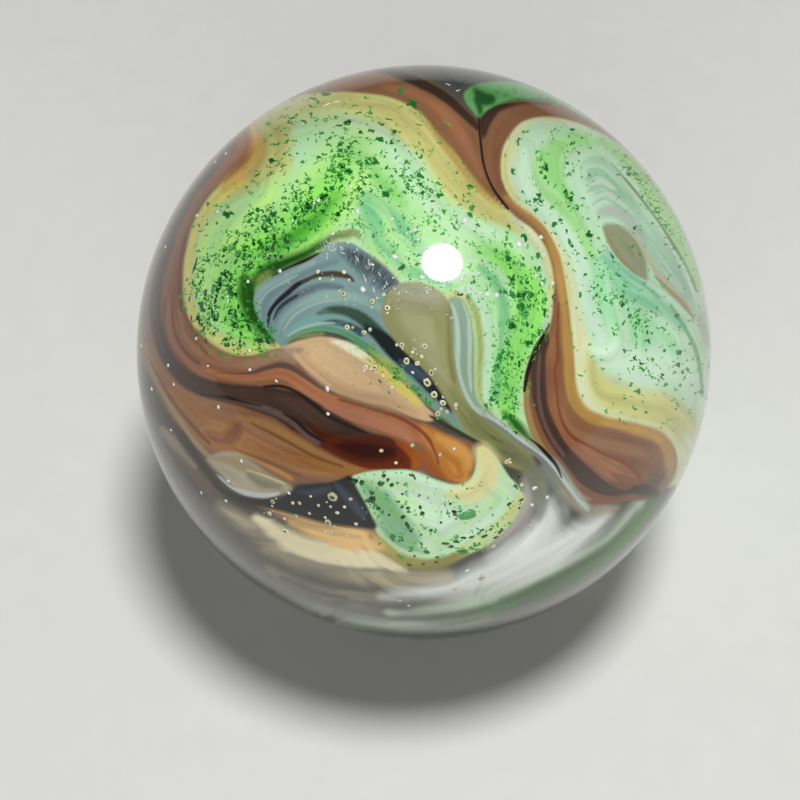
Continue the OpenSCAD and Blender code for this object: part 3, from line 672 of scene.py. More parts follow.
lay("plum", 1.3, trail((215, 375, 0.6), (235, 376, 1), (252, 375, 1.6), (266, 370, 2.4), (280, 367, 2.8),
    (292, 370, 2.6), (306, 379, 2.2), (322, 389, 1.8), (340, 397, 1.6), (362, 404, 1.4), (385, 411, 1),
    (405, 418, 0.8)))
lay("red_brown", 1.3, trail((172, 290, 0.8), (171, 320, 1.2), (176, 342, 1.4), (187, 358, 1.4),
    (200, 368, 1.2)), trail((163, 300, 0.8), (163, 325, 1.2), (168, 348, 1.4), (178, 364, 1.4),
    (192, 376, 1.2)))
lay("light_brown", 1.5, trail((177, 312, 1), (183, 336, 2), (194, 351, 2.5), (210, 364, 2.5),
    (230, 371, 2)))
lay("dark_brown", 1.3, trail((184, 235, 0.6), (179, 260, 1), (177, 290, 1.2), (180, 315, 1)))
print("left ribbon and fan:", len(layers), "layers so far")

# %% [markdown]
# ## Windows
# Where the ball was cut from the gather, clear glass closed over the layers. The agate
# window shows them end on, as fine curved bands. The black window looks into the dark,
# which is painted shade in its colour.

# %% Agate window
lay("agate", 1.3, pool((252, 302), (254, 293), (261, 285), (272, 277), (287, 270), (303, 263), (316, 256),
    (323, 248), (333, 243), (346, 243), (358, 249), (370, 257), (381, 266), (391, 275), (398, 284),
    (396, 292), (390, 300), (384, 308), (381, 316), (385, 326), (393, 338), (404, 350), (418, 364),
    (430, 379), (441, 394), (453, 408), (462, 418), (472, 434), (462, 430), (450, 418), (436, 405),
    (420, 391), (404, 377), (388, 363), (372, 351), (356, 342), (338, 335), (320, 332), (303, 335),
    (290, 342), (282, 350), (272, 340), (262, 328), (255, 316)), streak="agate_slate")
lay("agate_night", 4, trail((340, 252, 4), (358, 264, 8), (376, 278, 9), (388, 290, 6)),
    streak="agate_slate")
lay("agate_ink", 4, trail((345, 252, 2), (362, 262, 6), (379, 275, 8), (395, 290, 6)), cover=0.7)
lay("agate_ice", 2, trail((256, 314, 1.5), (256, 299, 3), (264, 289, 3.5), (278, 281, 3), (295, 272, 3),
    (312, 264, 2.5)), streak="agate")
lay("agate_slate", 2, trail((262, 326, 1), (262, 308, 3.2), (270, 296, 3.5), (284, 286, 3.5),
    (300, 277, 3.5), (318, 268, 3), (335, 262, 2)))
lay("agate_black", 1.3, trail((267, 329, 1), (268, 316, 2.2), (275, 305, 2.4), (286, 295, 2.7),
    (296, 286, 2.6), (308, 280, 1.5)))
lay("agate_brown", 1.5, trail((300, 284, 1.5), (315, 277, 2.5), (330, 275, 3.1), (345, 277, 2.5),
    (352, 282, 1.5)))
lay("agate_lilac", 1.8, trail((273, 323, 1.5), (279, 310, 3), (291, 300, 3.5), (306, 292, 3.5),
    (322, 287, 3), (340, 288, 2.5)))
lay("agate_ink", 1.3, trail((272, 322, 1), (277, 311, 1.6), (286, 303, 1.8), (296, 297, 1.5)))
lay("agate_pale", 2, trail((276, 338, 1.2), (281, 323, 2.4), (292, 311, 3.5), (307, 302, 4),
    (325, 297, 4.5), (345, 297, 4.5), (364, 301, 4.5), (378, 308, 3)), streak="agate")
lay("agate_teal", 2, trail((283, 338, 1.5), (299, 326, 3.3), (320, 319, 3.5), (338, 320, 3)))
lay("agate_green", 2.5, trail((316, 315, 1.5), (328, 311, 3.4), (345, 312, 4.5),
    (360, 319, 6), (374, 331, 7), (388, 345, 7)), streak="agate_night")
lay("agate_night", 2, trail((318, 325, 1), (332, 323, 3), (347, 326, 3.5), (360, 333, 4)))
# painted shade: the dark seen through the clear slot
lay("slot", 2.5, trail((365, 328, 3), (378, 336, 6), (390, 347, 9), (402, 358, 9), (416, 370, 8),
    (430, 384, 8), (441, 396, 6), (452, 409, 3)))
lay("slot_blue", 2.5, trail((400, 362, 3), (412, 370, 5), (424, 377, 4)))
lay("rim_green", 1.4, trail((283, 346, 0.8), (297, 334, 1.8), (318, 329, 2.4), (338, 332, 2.6),
    (353, 339, 3), (368, 349, 3), (382, 360, 2.8), (394, 371, 2.5)))
lay("rim_teal", 1.8, trail((378, 358, 1.5), (395, 371, 3), (412, 385, 3.5), (428, 400, 3.5),
    (444, 414, 3), (460, 428, 2.5), (472, 437, 1.5)))
lay("agate_ice", 1.2, trail((259, 320, 0.6), (259, 305, 1.1), (266, 294, 1.2), (280, 285, 1.1),
    (297, 276, 0.8)), trail((282, 333, 0.7), (291, 319, 1.2), (305, 309, 1.3), (322, 303, 1.2),
    (342, 301, 0.9)), trail((286, 338, 0.8), (300, 330, 1.4), (318, 325, 1.2), (334, 324, 0.7)))
lay("rim_olive", 2, trail((290, 341, 1), (305, 337, 2.5), (322, 335, 2)))
lay("black_line", 1.2, trail((270, 278, 0.8), (287, 269, 1.4), (303, 262, 1.6), (318, 254, 1.2)))
print("agate window:", len(layers), "layers so far")

# %% Peach streak under the agate window
lay("peach", 1.8, pool((282, 350), (290, 345), (302, 341), (318, 338), (334, 339), (348, 344), (362, 352),
    (376, 362), (390, 374), (403, 385), (415, 396), (427, 407), (436, 416), (430, 421), (415, 418),
    (400, 412), (382, 405), (365, 402), (350, 398), (335, 393), (321, 384), (308, 374), (297, 363),
    (288, 355)))
lay("peach_brown", 4.9, trail((300, 358, 2), (322, 378, 6), (352, 394, 6), (385, 403, 6), (415, 413, 3)),
    cover=0.7)
lay("ivory", 2.5, trail((330, 341, 1.5), (346, 347, 4), (360, 355, 4.5), (372, 364, 3)))
lay("yellow_green", 2.5, trail((368, 350, 2), (384, 361, 4), (398, 373, 3.5), (410, 385, 2.5)),
    streak="rim_teal")
lay("yellow", 2.5, trail((362, 358, 2), (376, 366, 4), (392, 380, 4.5), (407, 393, 4.5), (420, 404, 3)))
lay("tan_grey", 3, trail((270, 355, 3), (285, 354, 4), (300, 352, 3)))
lay("peach_line", 1.2, trail((293, 353, 0.6), (302, 364, 1), (316, 376, 1.2), (332, 388, 1)))
print("peach streak under the agate window:", len(layers), "layers so far")

# %% Olive lobe and white stripes
lay("olive", 2.2, pool((388, 290), (398, 284), (410, 282), (424, 284), (437, 290), (446, 300), (450, 315),
    (452, 335), (453, 355), (456, 372), (461, 387), (468, 399), (478, 409), (492, 418), (508, 428),
    (522, 440), (532, 452), (533, 463), (524, 468), (512, 465), (500, 459), (494, 450), (486, 444),
    (474, 438), (464, 428), (456, 416), (448, 402), (438, 387), (428, 374), (416, 362), (403, 350),
    (392, 338), (384, 326), (380, 315), (382, 302)))
lay("sand", 4.9, trail((402, 300, 8), (412, 318, 14), (424, 338, 12), (434, 360, 7), (445, 382, 3)),
    cover=0.45)
lay("grit_grey", 4.9, trail((395, 290, 4), (415, 292, 8), (435, 298, 6)), streak="sand", cover=0.8)
lay("dark_olive", 4.9, trail((452, 392, 4), (466, 412, 8), (483, 428, 10), (502, 443, 9), (518, 456, 5)),
    streak="olive_dull")
lay("grey_olive", 8, trail((508, 446, 5), (524, 459, 9), (536, 474, 8), (543, 494, 3)), cover=0.85)
lay("olive_edge", 2, trail((446, 310, 1), (448, 335, 2), (449, 358, 2.5), (454, 380, 3)))
lay("stripe_grey", 1.4, pool((446, 298), (458, 297), (467, 308), (472, 325), (475, 345), (475, 370),
    (476, 390), (482, 403), (494, 414), (508, 424), (522, 435), (512, 432), (494, 421), (478, 413),
    (468, 403), (461, 390), (456, 373), (453, 352), (452, 332), (450, 313)))
lay("stripe_white", 1.2, trail((450, 302, 1), (455, 318, 2), (457, 340, 2.4), (457, 360, 2.2),
    (461, 380, 2), (468, 397, 1.8), (478, 410, 1.5), (492, 419, 1.2)))
lay("stripe_dark", 1.2, trail((458, 305, 0.8), (462, 325, 1.4), (463, 350, 1.6), (464, 375, 1.4)))
lay("stripe_white", 1.2, trail((461, 301, 1), (467, 318, 1.6), (469, 342, 1.8), (469, 368, 1.6),
    (471, 390, 1.3)))
lay("stripe_green", 1.2, trail((465, 302, 1), (472, 320, 1.8), (475, 345, 2), (475, 372, 1.8),
    (477, 395, 1.5), (486, 408, 1.2)))
lay("tail_grey", 2, trail((478, 408, 2), (495, 419, 3.3), (515, 433, 3.3), (535, 446, 3.3), (552, 458, 4),
    (566, 475, 4.5), (577, 491, 4), (588, 505, 3.4)), streak="pearl")
lay("tail_white", 1.2, trail((486, 413, 0.6), (505, 426, 1), (522, 439, 1.2), (540, 451, 1.4),
    (556, 465, 2), (568, 482, 2.2), (580, 497, 1.6), (591, 508, 0.8)))
lay("tail_lilac", 1.2, trail((480, 414, 0.8), (500, 426, 1.5), (520, 441, 1.8), (540, 455, 2),
    (553, 470, 2.5)))
lay("dark_olive_line", 1.3, trail((430, 415, 1.5), (443, 423, 2), (457, 430, 2), (470, 437, 1.8),
    (486, 444, 1.2)))
print("olive lobe and white stripes:", len(layers), "layers so far")

# %% [markdown]
# ## Lower pool and black window
# A third pool of mint lies under the fan's orange tip. To its left the black window opens,
# edged with caramel, and a small white patch covers its far end.

# %% Lower pool
lay("lower_leaf", 1.8, pool((352, 478), (362, 474), (378, 471), (395, 470), (410, 470), (424, 474),
    (440, 480), (455, 484), (466, 482), (473, 476), (477, 465), (478, 453), (479, 446), (488, 447),
    (496, 454), (503, 464), (509, 473), (516, 481), (522, 489), (526, 497), (521, 508), (513, 522),
    (502, 534), (488, 545), (472, 553), (455, 561), (436, 568), (416, 567), (397, 560), (383, 548),
    (378, 532), (372, 515), (364, 500), (357, 488)), streak="mint")
lay("lower_green", 6, trail((366, 487, 5), (383, 500, 10), (397, 522, 10), (415, 540, 8)),
    streak="lower_teal")
lay("mint", 7, trail((420, 482, 6), (432, 500, 14), (445, 520, 12), (470, 530, 8), (495, 515, 7),
    (508, 495, 5)), streak="white_mint")
lay("lower_cream", 6, trail((484, 449, 8), (490, 463, 11), (487, 480, 12), (472, 492, 10), (454, 494, 5)))
lay("dull_mint", 4, trail((500, 478, 3), (513, 486, 5), (518, 496, 4)), streak="mint")
lay("lower_lime", 3, trail((522, 495, 3), (514, 510, 5), (500, 526, 6), (482, 539, 6), (465, 549, 4)),
    streak="lower_leaf")
lay("lower_teal", 3, trail((380, 522, 1), (392, 536, 3), (408, 547, 3.3), (428, 552, 2)))
lay("lower_olive", 3, trail((374, 535, 2), (386, 549, 5), (404, 560, 6), (425, 565, 6), (446, 561, 5),
    (466, 552, 3)), streak="lime_olive")
lay("lime_olive", 3, trail((376, 538, 3), (388, 548, 5), (400, 556, 3)))
print("lower pool:", len(layers), "layers so far")

# %% Black window and white patch
lay("caramel", 5, trail((292, 525, 2), (315, 534, 5), (342, 541, 7), (366, 544, 6), (382, 548, 3)))
lay("brown_edge", 4.6, trail((258, 508, 1.5), (285, 516, 3), (305, 522, 4), (330, 529, 4), (355, 532, 4),
    (376, 536, 3)), streak="caramel")
# painted shade: the dark seen through the black window's clear glass
lay("painted_dark_window", 2.2, pool((216, 488), (226, 492), (236, 498), (247, 500), (262, 502), (280, 500),
    (292, 494), (300, 487), (318, 485), (335, 483), (352, 477), (358, 488), (365, 500), (372, 514),
    (379, 528), (366, 529), (345, 527), (322, 523), (300, 518), (280, 513), (258, 508), (240, 503),
    (226, 497)), streak="painted_dark_window_streak")
lay("blue_glint", 3, trail((300, 494, 1.5), (316, 494, 3.3), (330, 490, 2)), trail((338, 486, 2),
    (350, 500, 4), (364, 516, 3)))
lay("patch", 2.8, pool((207, 462), (215, 457), (230, 455), (241, 458), (255, 465), (268, 474), (283, 483),
    (293, 488), (290, 494), (276, 498), (262, 499), (248, 498), (237, 493), (227, 485), (218, 476),
    (211, 468)), streak="patch_dull")
lay("patch_brown", 4, trail((212, 461, 2), (232, 463, 5), (254, 473, 5), (272, 482, 3)), cover=0.85)
lay("patch_grey", 2.5, trail((250, 478, 2), (264, 486, 4), (280, 489, 3)))
lay("patch_white", 1.4, trail((218, 478, 1), (232, 490, 1.5), (248, 496, 2), (264, 498, 2.4),
    (280, 496, 1.5)))
lay("patch_line", 1.2, trail((246, 472, 0.8), (262, 477, 1.2), (276, 482, 1.2), (287, 486, 0.8)))
print("black window and white patch:", len(layers), "layers so far")

# %% [markdown]
# ## Top of the ball
# Smoky glass covers the very top, and one more tongue of green comes over from the far side.
# Where two ribbons meet, a black hairline is laid along the join.

# %% Top and creases
lay("top_slate", 2.2, pool((400, 40), (440, 40), (500, 48), (560, 78), (548, 90), (530, 86), (515, 82),
    (500, 80), (482, 81), (470, 84), (462, 90), (459, 97), (462, 104), (468, 111), (473, 119), (463, 110),
    (449, 97), (434, 86), (418, 77), (402, 71)), streak="top_dark")
lay("sliver", 1.8, pool((459, 95), (463, 89), (470, 85), (482, 82), (500, 81), (515, 83), (530, 87),
    (545, 90), (575, 90), (610, 105), (650, 140), (690, 190), (680, 190), (668, 180), (650, 160),
    (632, 147), (616, 135), (600, 124), (580, 115), (560, 105), (545, 101), (530, 99), (515, 100),
    (500, 102), (490, 105), (482, 110), (474, 117), (467, 110), (461, 102)), streak="sliver_light")
lay("sliver_dark", 3, trail((470, 90, 3), (477, 98, 7), (485, 99, 6)), trail((470, 98, 2), (475, 108, 3),
    (475, 114, 1)), streak="fern")
lay("sliver_edge", 1.2, trail((500, 101, 0.6), (520, 98.5, 1.2), (542, 99, 1.4), (552, 102, 0.8)))
lay("black_line", 1, trail((474, 118, 0.8), (475, 132, 1.2), (477, 147, 1.3), (479, 161, 1.4),
    (483, 174, 1.4), (489, 187, 1.4), (496, 197, 1.3), (505, 208, 1)), trail((548, 322, 0.8),
    (542, 334, 2), (535, 346, 2.4), (530, 360, 2.4), (526, 375, 2), (524, 390, 1.2)),
    trail((530, 436, 0.6), (541, 445, 1.8), (550, 454, 2), (558, 464, 1.8), (563, 475, 1)))
print("glasses laid:", len(layers), "in", len(GLASS), "colours")

# %% [markdown]
# ## Mica flakes
# Crushed green mica was rolled into the green rods, so the flakes follow the green glass.
# How much flake a place holds is drawn in the same way as the glasses.

# %% Where the flakes lie
sowings = []

# Middles that the flow wraps round, each with the distance at which a flake keeps its true length.
WINDOW_MIDDLE = (345, 330, 165)
RIGHT_MIDDLE = (765, 185, 230)
POOL_MIDDLE = (440, 425, 100)


def sow(share, soft, middle, *shapes):
    """Set the share of flake in the glass inside these shapes, and the middle its flow wraps round."""
    for shape in shapes:
        sowings.append((share, soft, middle, shape))


sow(0.15, 8, WINDOW_MIDDLE, pool((262, 105), (300, 100), (340, 102), (400, 112), (440, 140), (485, 205),
    (520, 225), (548, 265), (553, 300), (545, 335), (530, 370), (530, 440), (500, 425), (482, 400),
    (476, 310), (400, 280), (340, 232), (265, 268), (252, 310), (275, 350), (235, 362), (200, 352),
    (182, 318), (182, 250), (205, 200), (255, 170), (262, 130)))
sow(0.09, 10, WINDOW_MIDDLE, trail((262, 108, 8), (305, 100, 10), (350, 100, 12), (400, 116, 14),
    (440, 150, 14), (470, 195, 12), (500, 222, 8)))
sow(0.85, 16, WINDOW_MIDDLE, trail((350, 152, 6), (336, 185, 13), (302, 212, 16), (266, 238, 16),
    (238, 262, 14), (220, 290, 18), (226, 318, 15), (258, 338, 8)))
sow(0.25, 4, WINDOW_MIDDLE, trail((247, 284, 4), (248, 300, 7), (253, 316, 6), (264, 332, 4)))
sow(0.55, 12, WINDOW_MIDDLE, trail((500, 268, 10), (525, 298, 16), (515, 345, 14), (504, 385, 12),
    (516, 418, 8)), trail((362, 160, 8), (405, 180, 10), (425, 190, 8)))
sow(0.06, 8, RIGHT_MIDDLE, pool((500, 125), (560, 118), (620, 145), (670, 210), (704, 300), (706, 400),
    (670, 430), (600, 410), (575, 370), (563, 260), (520, 205), (500, 165)))
sow(0.24, 14, RIGHT_MIDDLE, trail((560, 142, 10), (550, 190, 12), (582, 250, 10), (604, 290, 12),
    (640, 318, 14)), trail((645, 365, 12), (680, 370, 8)))
sow(0.36, 6, RIGHT_MIDDLE, trail((615, 155, 4), (650, 195, 6), (682, 250, 5)))
sow(0.08, 5, POOL_MIDDLE, pool((358, 480), (395, 472), (430, 476), (460, 500), (500, 505), (520, 480),
    (526, 495), (508, 530), (485, 550), (440, 568), (402, 562), (382, 545), (368, 508)))
sow(0.16, 7, POOL_MIDDLE, trail((360, 486, 4), (374, 506, 9), (390, 530, 9), (410, 548, 7)))
sow(0.18, 6, POOL_MIDDLE, trail((405, 554, 5), (440, 556, 7), (475, 545, 7), (502, 524, 6),
    (518, 500, 4)))
sow(0.40, 4, POOL_MIDDLE, trail((462, 513, 4), (478, 516, 5)), trail((420, 526, 3), (432, 530, 3)))
sow(0.10, 4, POOL_MIDDLE, trail((450, 490, 6), (480, 478, 8)))
sow(0.03, 4, WINDOW_MIDDLE, pool((300, 345), (340, 345), (380, 368), (420, 402), (430, 416), (380, 403),
    (330, 388), (300, 360)))
sow(0.45, 5, WINDOW_MIDDLE, trail((352, 341, 2), (376, 356, 4), (400, 376, 5), (424, 398, 5),
    (446, 416, 4)))
sow(0.4, 3, RIGHT_MIDDLE, trail((485, 90, 4), (520, 94, 3), (545, 98, 2)))
sow(0.03, 5, RIGHT_MIDDLE, pool((582, 166), (602, 164), (626, 186), (656, 228), (680, 272), (684, 298),
    (650, 280), (622, 262), (600, 232), (586, 196)))
print("sowings:", len(sowings))

# %% [markdown]
# ## Frost and painted sheen
# Where the cut glass cooled quickest its skin is frosted: fine pale scratches and pits, most
# of them at the window's peak, along its right edge and round the lamp's image. Round the
# lamp's image the pale specks are painted sheen, the haze of light about its mirror image.
# Its places are drawn as the flakes' places are.

# %% Where the skin is frosted
frost_and_sheen_places = [
    # share and softness in view units, then the shape
    (0.9, 5, trail((322, 250, 4), (331, 246, 7), (341, 248, 4))),
    (0.50, 8, trail((352, 258, 5), (368, 272, 9), (384, 284, 10), (392, 296, 6))),
    # the next two lie round the lamp's image, where the pale specks are painted sheen
    (0.45, 8, trail((396, 292, 5), (418, 292, 7), (436, 294, 5))),
    (0.16, 14, pool((392, 228), (440, 214), (486, 228), (500, 262), (488, 300), (440, 314), (402, 300),
        (384, 262))),
    (0.12, 10, trail((286, 292, 6), (320, 290, 10), (356, 300, 10))),
    (0.10, 8, trail((405, 345, 8), (430, 380, 8), (450, 410, 6))),
]
print("frosted places:", len(frost_and_sheen_places))


# %% [markdown]
# ## From the plan to the ball
# Each point of the skin is looked up on the plan, through the camera. The far half of the
# ball can't be seen, so the swirl folds round the edge and carries on there. It leans from
# the fold on and turns more towards the far pole, as hot glass would have.

# %% Where each point of the skin lies on the plan
EDGE_MARGIN = 20.0     # view units of the plan used up between the visible edge and the middle line
FAR_TWIST = 0.8        # how strongly the far half is turned
FAR_LEAN = 0.6         # how soon the turn starts, so that the two halves don't mirror
LEAN_CHANGE = 0.5      # how much that differs round the ball
LEAN_START = 0.6       # radians


def plan_places(points):
    across = points @ np.array(view_right)
    upward = points @ np.array(view_up)
    outward = points @ np.array(to_camera)
    angle = np.arccos(np.clip(outward / BALL_RADIUS, -1, 1))
    folded = np.minimum(angle, math.pi - angle)
    edge_angle = math.acos(BALL_RADIUS / CAMERA_DISTANCE)
    seen = focal_units * BALL_RADIUS * np.sin(folded) / (CAMERA_DISTANCE - BALL_RADIUS * np.cos(folded))
    past = (folded - edge_angle) / (math.pi / 2 - edge_angle)
    reach = np.where(folded < edge_angle, seen, BALL_OUTLINE + EDGE_MARGIN * past ** 2)
    beyond = np.maximum(angle - math.pi / 2, 0)
    turn = np.arctan2(upward, across)
    lean = FAR_LEAN * beyond * (1 + LEAN_CHANGE * np.sin(2 * turn + LEAN_START))
    turn = turn + FAR_TWIST * beyond ** 2 + lean
    return BALL_MIDDLE[0] + reach * np.cos(turn), BALL_MIDDLE[1] - reach * np.sin(turn)


plan_x, plan_y = plan_places(skin_points)
print("plan spans:", round(plan_x.min()), "to", round(plan_x.max()))

# %% [markdown]
# ## Depth inside a shape
# For each shape and each point of the skin, the nearest stretch of its curve is looked for.
# The answer is above zero inside and below zero outside. A very thin trail would slip
# between two points of the mesh, so it is kept as two smooth numbers: how far to one side
# of its middle a point lies, and how wide the trail is there.

# %% Measure a point against a shape
UNIT = 0.028           # mm of glass that one view unit covers
FAR_OUT = -60.0        # depth kept where a shape is nowhere near
NEARBY = 40.0          # how far outside a shape its depth is still worked out
LINE_REACH = 7.0       # how far from a thin trail it is worked out
THIN = 3.3             # a trail whose half width stays under this is read as a line
CLEAR_EDGE = 4         # a glass with an edge up to this soft steers the streaks along it
TINY = 1e-9


def stretches(shape, x, y):
    """For each stretch of a curve: how far along it and off it the points lie."""
    for a, b in zip(shape["curve"], shape["curve"][1:]):
        ex, ey = b[0] - a[0], b[1] - a[1]
        length = math.hypot(ex, ey) + TINY
        along = ((x - a[0]) * ex + (y - a[1]) * ey) / length
        offset = ((x - a[0]) * ey - (y - a[1]) * ex) / length
        short = np.maximum(-along, 0)
        over = np.maximum(along - length, 0)
        yield a, b, np.clip(along / length, 0, 1), offset, short, over


def window(shape, x, y, margin):
    """The points that lie near a shape, so that the others needn't be worked out."""
    left, top = shape["curve"][:, :2].min(axis=0) - margin
    right, bottom = shape["curve"][:, :2].max(axis=0) + margin
    return np.flatnonzero((x > left) & (x < right) & (y > top) & (y < bottom))


def depth_inside(shape, x, y):
    """How deep each point lies inside a shape, in view units."""
    near = window(shape, x, y, NEARBY)
    px, py = x[near], y[near]
    gap = np.full(px.shape, -FAR_OUT)
    inside = np.zeros(px.shape, bool)
    for a, b, share, offset, short, over in stretches(shape, px, py):
        away = np.hypot(offset, short + over)
        if shape["closed"]:
            crosses = (a[1] > py) != (b[1] > py)
            slope = (b[0] - a[0]) / (b[1] - a[1] or TINY)
            inside ^= crosses & (px < a[0] + (py - a[1]) * slope)
            gap = np.minimum(gap, away)
        else:
            gap = np.minimum(gap, away - a[2] - share * (b[2] - a[2]))
    depth = np.full(x.shape, FAR_OUT)
    depth[near] = np.where(inside, gap, -gap)
    return depth


def line_reading(shape, x, y):
    """Signed distance from a thin trail's middle, and its half width there."""
    near = window(shape, x, y, LINE_REACH)
    px, py = x[near], y[near]
    best = np.full(px.shape, LINE_REACH)
    near_side = np.full(px.shape, -FAR_OUT)
    near_width = np.full(px.shape, FAR_OUT)
    last = len(shape["curve"]) - 2
    for number, (a, b, share, offset, short, over) in enumerate(stretches(shape, px, py)):
        away = np.hypot(offset, short + over)
        past_end = (short if number == 0 else 0) + (over if number == last else 0)
        take = away < best
        best[take] = away[take]
        side_here = np.where(past_end > 0, offset, np.copysign(away, offset))
        near_side[take] = side_here[take]
        near_width[take] = (a[2] + share * (b[2] - a[2]) - past_end)[take]
    side = np.full(x.shape, -FAR_OUT)
    width = np.full(x.shape, FAR_OUT)
    side[near] = near_side
    width[near] = near_width
    return side, width


print("one view unit covers, mm:", UNIT)

# %% [markdown]
# ## Reading the whole skin
# Every shape is read once at every point of the skin. The distance to the nearest clear edge
# is kept too, as it steers the streaks, and the flakes' flow comes from the same plan.

# %% Read every shape at every point
def keep(mesh, name, vectors):
    """Keep a vector for each point of a mesh, where its material can look it up."""
    kept = mesh.attributes.new(name, "FLOAT_VECTOR", "POINT")
    kept.data.foreach_set("vector", np.array(vectors, np.float32).ravel())


readings = {}
steer = np.full(len(skin_points), NEARBY)
for number, layer in enumerate(layers):
    shape = layer["shape"]
    layer["name"] = "%03d %s" % (number, layer["glass"])
    layer["line"] = not shape["closed"] and shape["curve"][:, 2].max() < THIN
    if layer["line"]:
        side, width = line_reading(shape, plan_x, plan_y)
        readings[layer["name"] + " side"] = side * UNIT
        readings[layer["name"] + " width"] = width * UNIT
        continue
    depth = depth_inside(shape, plan_x, plan_y)
    readings[layer["name"]] = depth * UNIT
    if layer["soft"] <= CLEAR_EDGE:
        steer = np.minimum(steer, np.abs(depth))
readings["steer"] = steer * UNIT


def part_inside(shape, soft):
    """1 inside a shape and 0 outside it, with an edge this soft."""
    return np.clip((depth_inside(shape, plan_x, plan_y) / soft + 1) / 2, 0, 1)


flake_share = np.zeros(len(skin_points))
flow_along = np.arctan2(plan_x - WINDOW_MIDDLE[0], WINDOW_MIDDLE[1] - plan_y) * WINDOW_MIDDLE[2]
flow_across = np.hypot(plan_x - WINDOW_MIDDLE[0], plan_y - WINDOW_MIDDLE[1])
for share, soft, middle, shape in sowings:
    part = part_inside(shape, soft)
    flake_share += (share - flake_share) * part
    right, down = plan_x - middle[0], plan_y - middle[1]
    flow_along = np.where(part > 0, np.arctan2(right, -down) * middle[2], flow_along)
    flow_across = np.where(part > 0, np.hypot(right, down), flow_across)
readings["flake share"] = flake_share

frost_and_sheen_share = np.zeros(len(skin_points))
for share, soft, shape in frost_and_sheen_places:
    frost_and_sheen_share = np.maximum(frost_and_sheen_share, share * part_inside(shape, soft))
readings["frost and sheen share"] = frost_and_sheen_share
keep(skin, "flow", np.stack([flow_along, flow_across, np.zeros(len(skin_points))], axis=1) * UNIT)

# Three readings share one vector, which is quicker to look up than three single numbers.
names = list(readings)
for start in range(0, len(names), 3):
    group = names[start:start + 3]
    columns = [readings[name] for name in group] + [np.zeros(len(skin_points))] * (3 - len(group))
    keep(skin, "reading_%02d" % (start // 3), np.stack(columns, axis=1))
print("readings kept:", len(names), "at", len(skin_points), "points")

# %% [markdown]
# ## Edges of the glasses
# Hot glass never keeps a ruled edge, so the depths are shifted a little by noise before a
# colour is chosen. Soft edges are also combed into streaks that run along the flow, by a
# noise whose fourth axis is the distance to the nearest clear edge. A painted picture would
# give any edge, but it would be stretched round the ball and stay flat when seen close.

# %% Noises that shape the edges
WAVER_SCALE = 1.1        # waves per mm in an edge's waver
ACROSS_SCALE = 3.2       # streaks per mm across the flow
ALONG_SCALE = 0.30       # streaks per mm along it
COMB_ROUGHNESS = 0.6
STREAK_FROM = 0.42       # the comb's value at which a streak begins
STREAK_TO = 0.62         # and at which it is full
EDGE_KINDS = (
    # up to which softness, in view units, and how many mm the waver and the comb shift the edge
    ("sharp", 2.3, 0.05, 0.02),
    ("middle", 5, 0.10, 0.14),
    ("soft", math.inf, 0.16, 0.36),
)


def opaque(hex_colour):
    return linear(hex_colour) + [1.0]


glass, tree = new_material("swirl glass, fused and fire polished")
place = add(tree, "ShaderNodeTexCoord", output="Object")
opened = {}


def reading(tree, name):
    """Find a reading in its vector, and open each vector only once."""
    group, part = divmod(names.index(name), 3)
    if group not in opened:
        vector = add(tree, "ShaderNodeAttribute", output="Color", attribute_name="reading_%02d" % group)
        opened[group] = add(tree, "ShaderNodeSeparateColor", {"Color": vector}).node.outputs
    return opened[group][part]


waver = add(tree, "ShaderNodeTexNoise", {"Vector": place, "Scale": WAVER_SCALE / MM, "Detail": 1.0},
    output="Color")
waver_parts = add(tree, "ShaderNodeSeparateColor", {"Color": waver}).node.outputs
comb_w = add(tree, "ShaderNodeMath", {0: reading(tree, "steer"), 1: MM * ACROSS_SCALE / ALONG_SCALE},
    operation="MULTIPLY")
comb = add(tree, "ShaderNodeTexNoise", {"Vector": place, "W": comb_w, "Scale": ALONG_SCALE / MM,
    "Detail": 2.0, "Roughness": COMB_ROUGHNESS}, output="Color", noise_dimensions="4D")
comb_parts = add(tree, "ShaderNodeSeparateColor", {"Color": comb}).node.outputs
comb_centred = add(tree, "ShaderNodeMath", {0: comb_parts["Red"], 1: 0.5}, operation="SUBTRACT")
streak_share = add(tree, "ShaderNodeMapRange", {"Value": comb_parts["Green"], "From Min": STREAK_FROM,
    "From Max": STREAK_TO})

shifts = {}
for channel in ("Red", "Green", "Blue"):
    centred = add(tree, "ShaderNodeMath", {0: waver_parts[channel], 1: 0.5}, operation="SUBTRACT")
    for name, _, waver_by, comb_by in EDGE_KINDS:
        wavered = add(tree, "ShaderNodeMath", {0: centred, 1: waver_by}, operation="MULTIPLY")
        shifts[channel, name] = add(tree, "ShaderNodeMath", {0: comb_centred, 1: comb_by, 2: wavered},
            operation="MULTIPLY_ADD")
print("nodes that shape the edges:", len(tree.nodes))

# %% [markdown]
# ## The glasses over each other
# A glassmaker lays one gather of glass over another, and the last one lies on top. The
# material does the same: it starts with smoke and mixes in one glass after the other, each
# where its depth is above zero. A thin strand's depth is its half width less the distance
# from its middle.

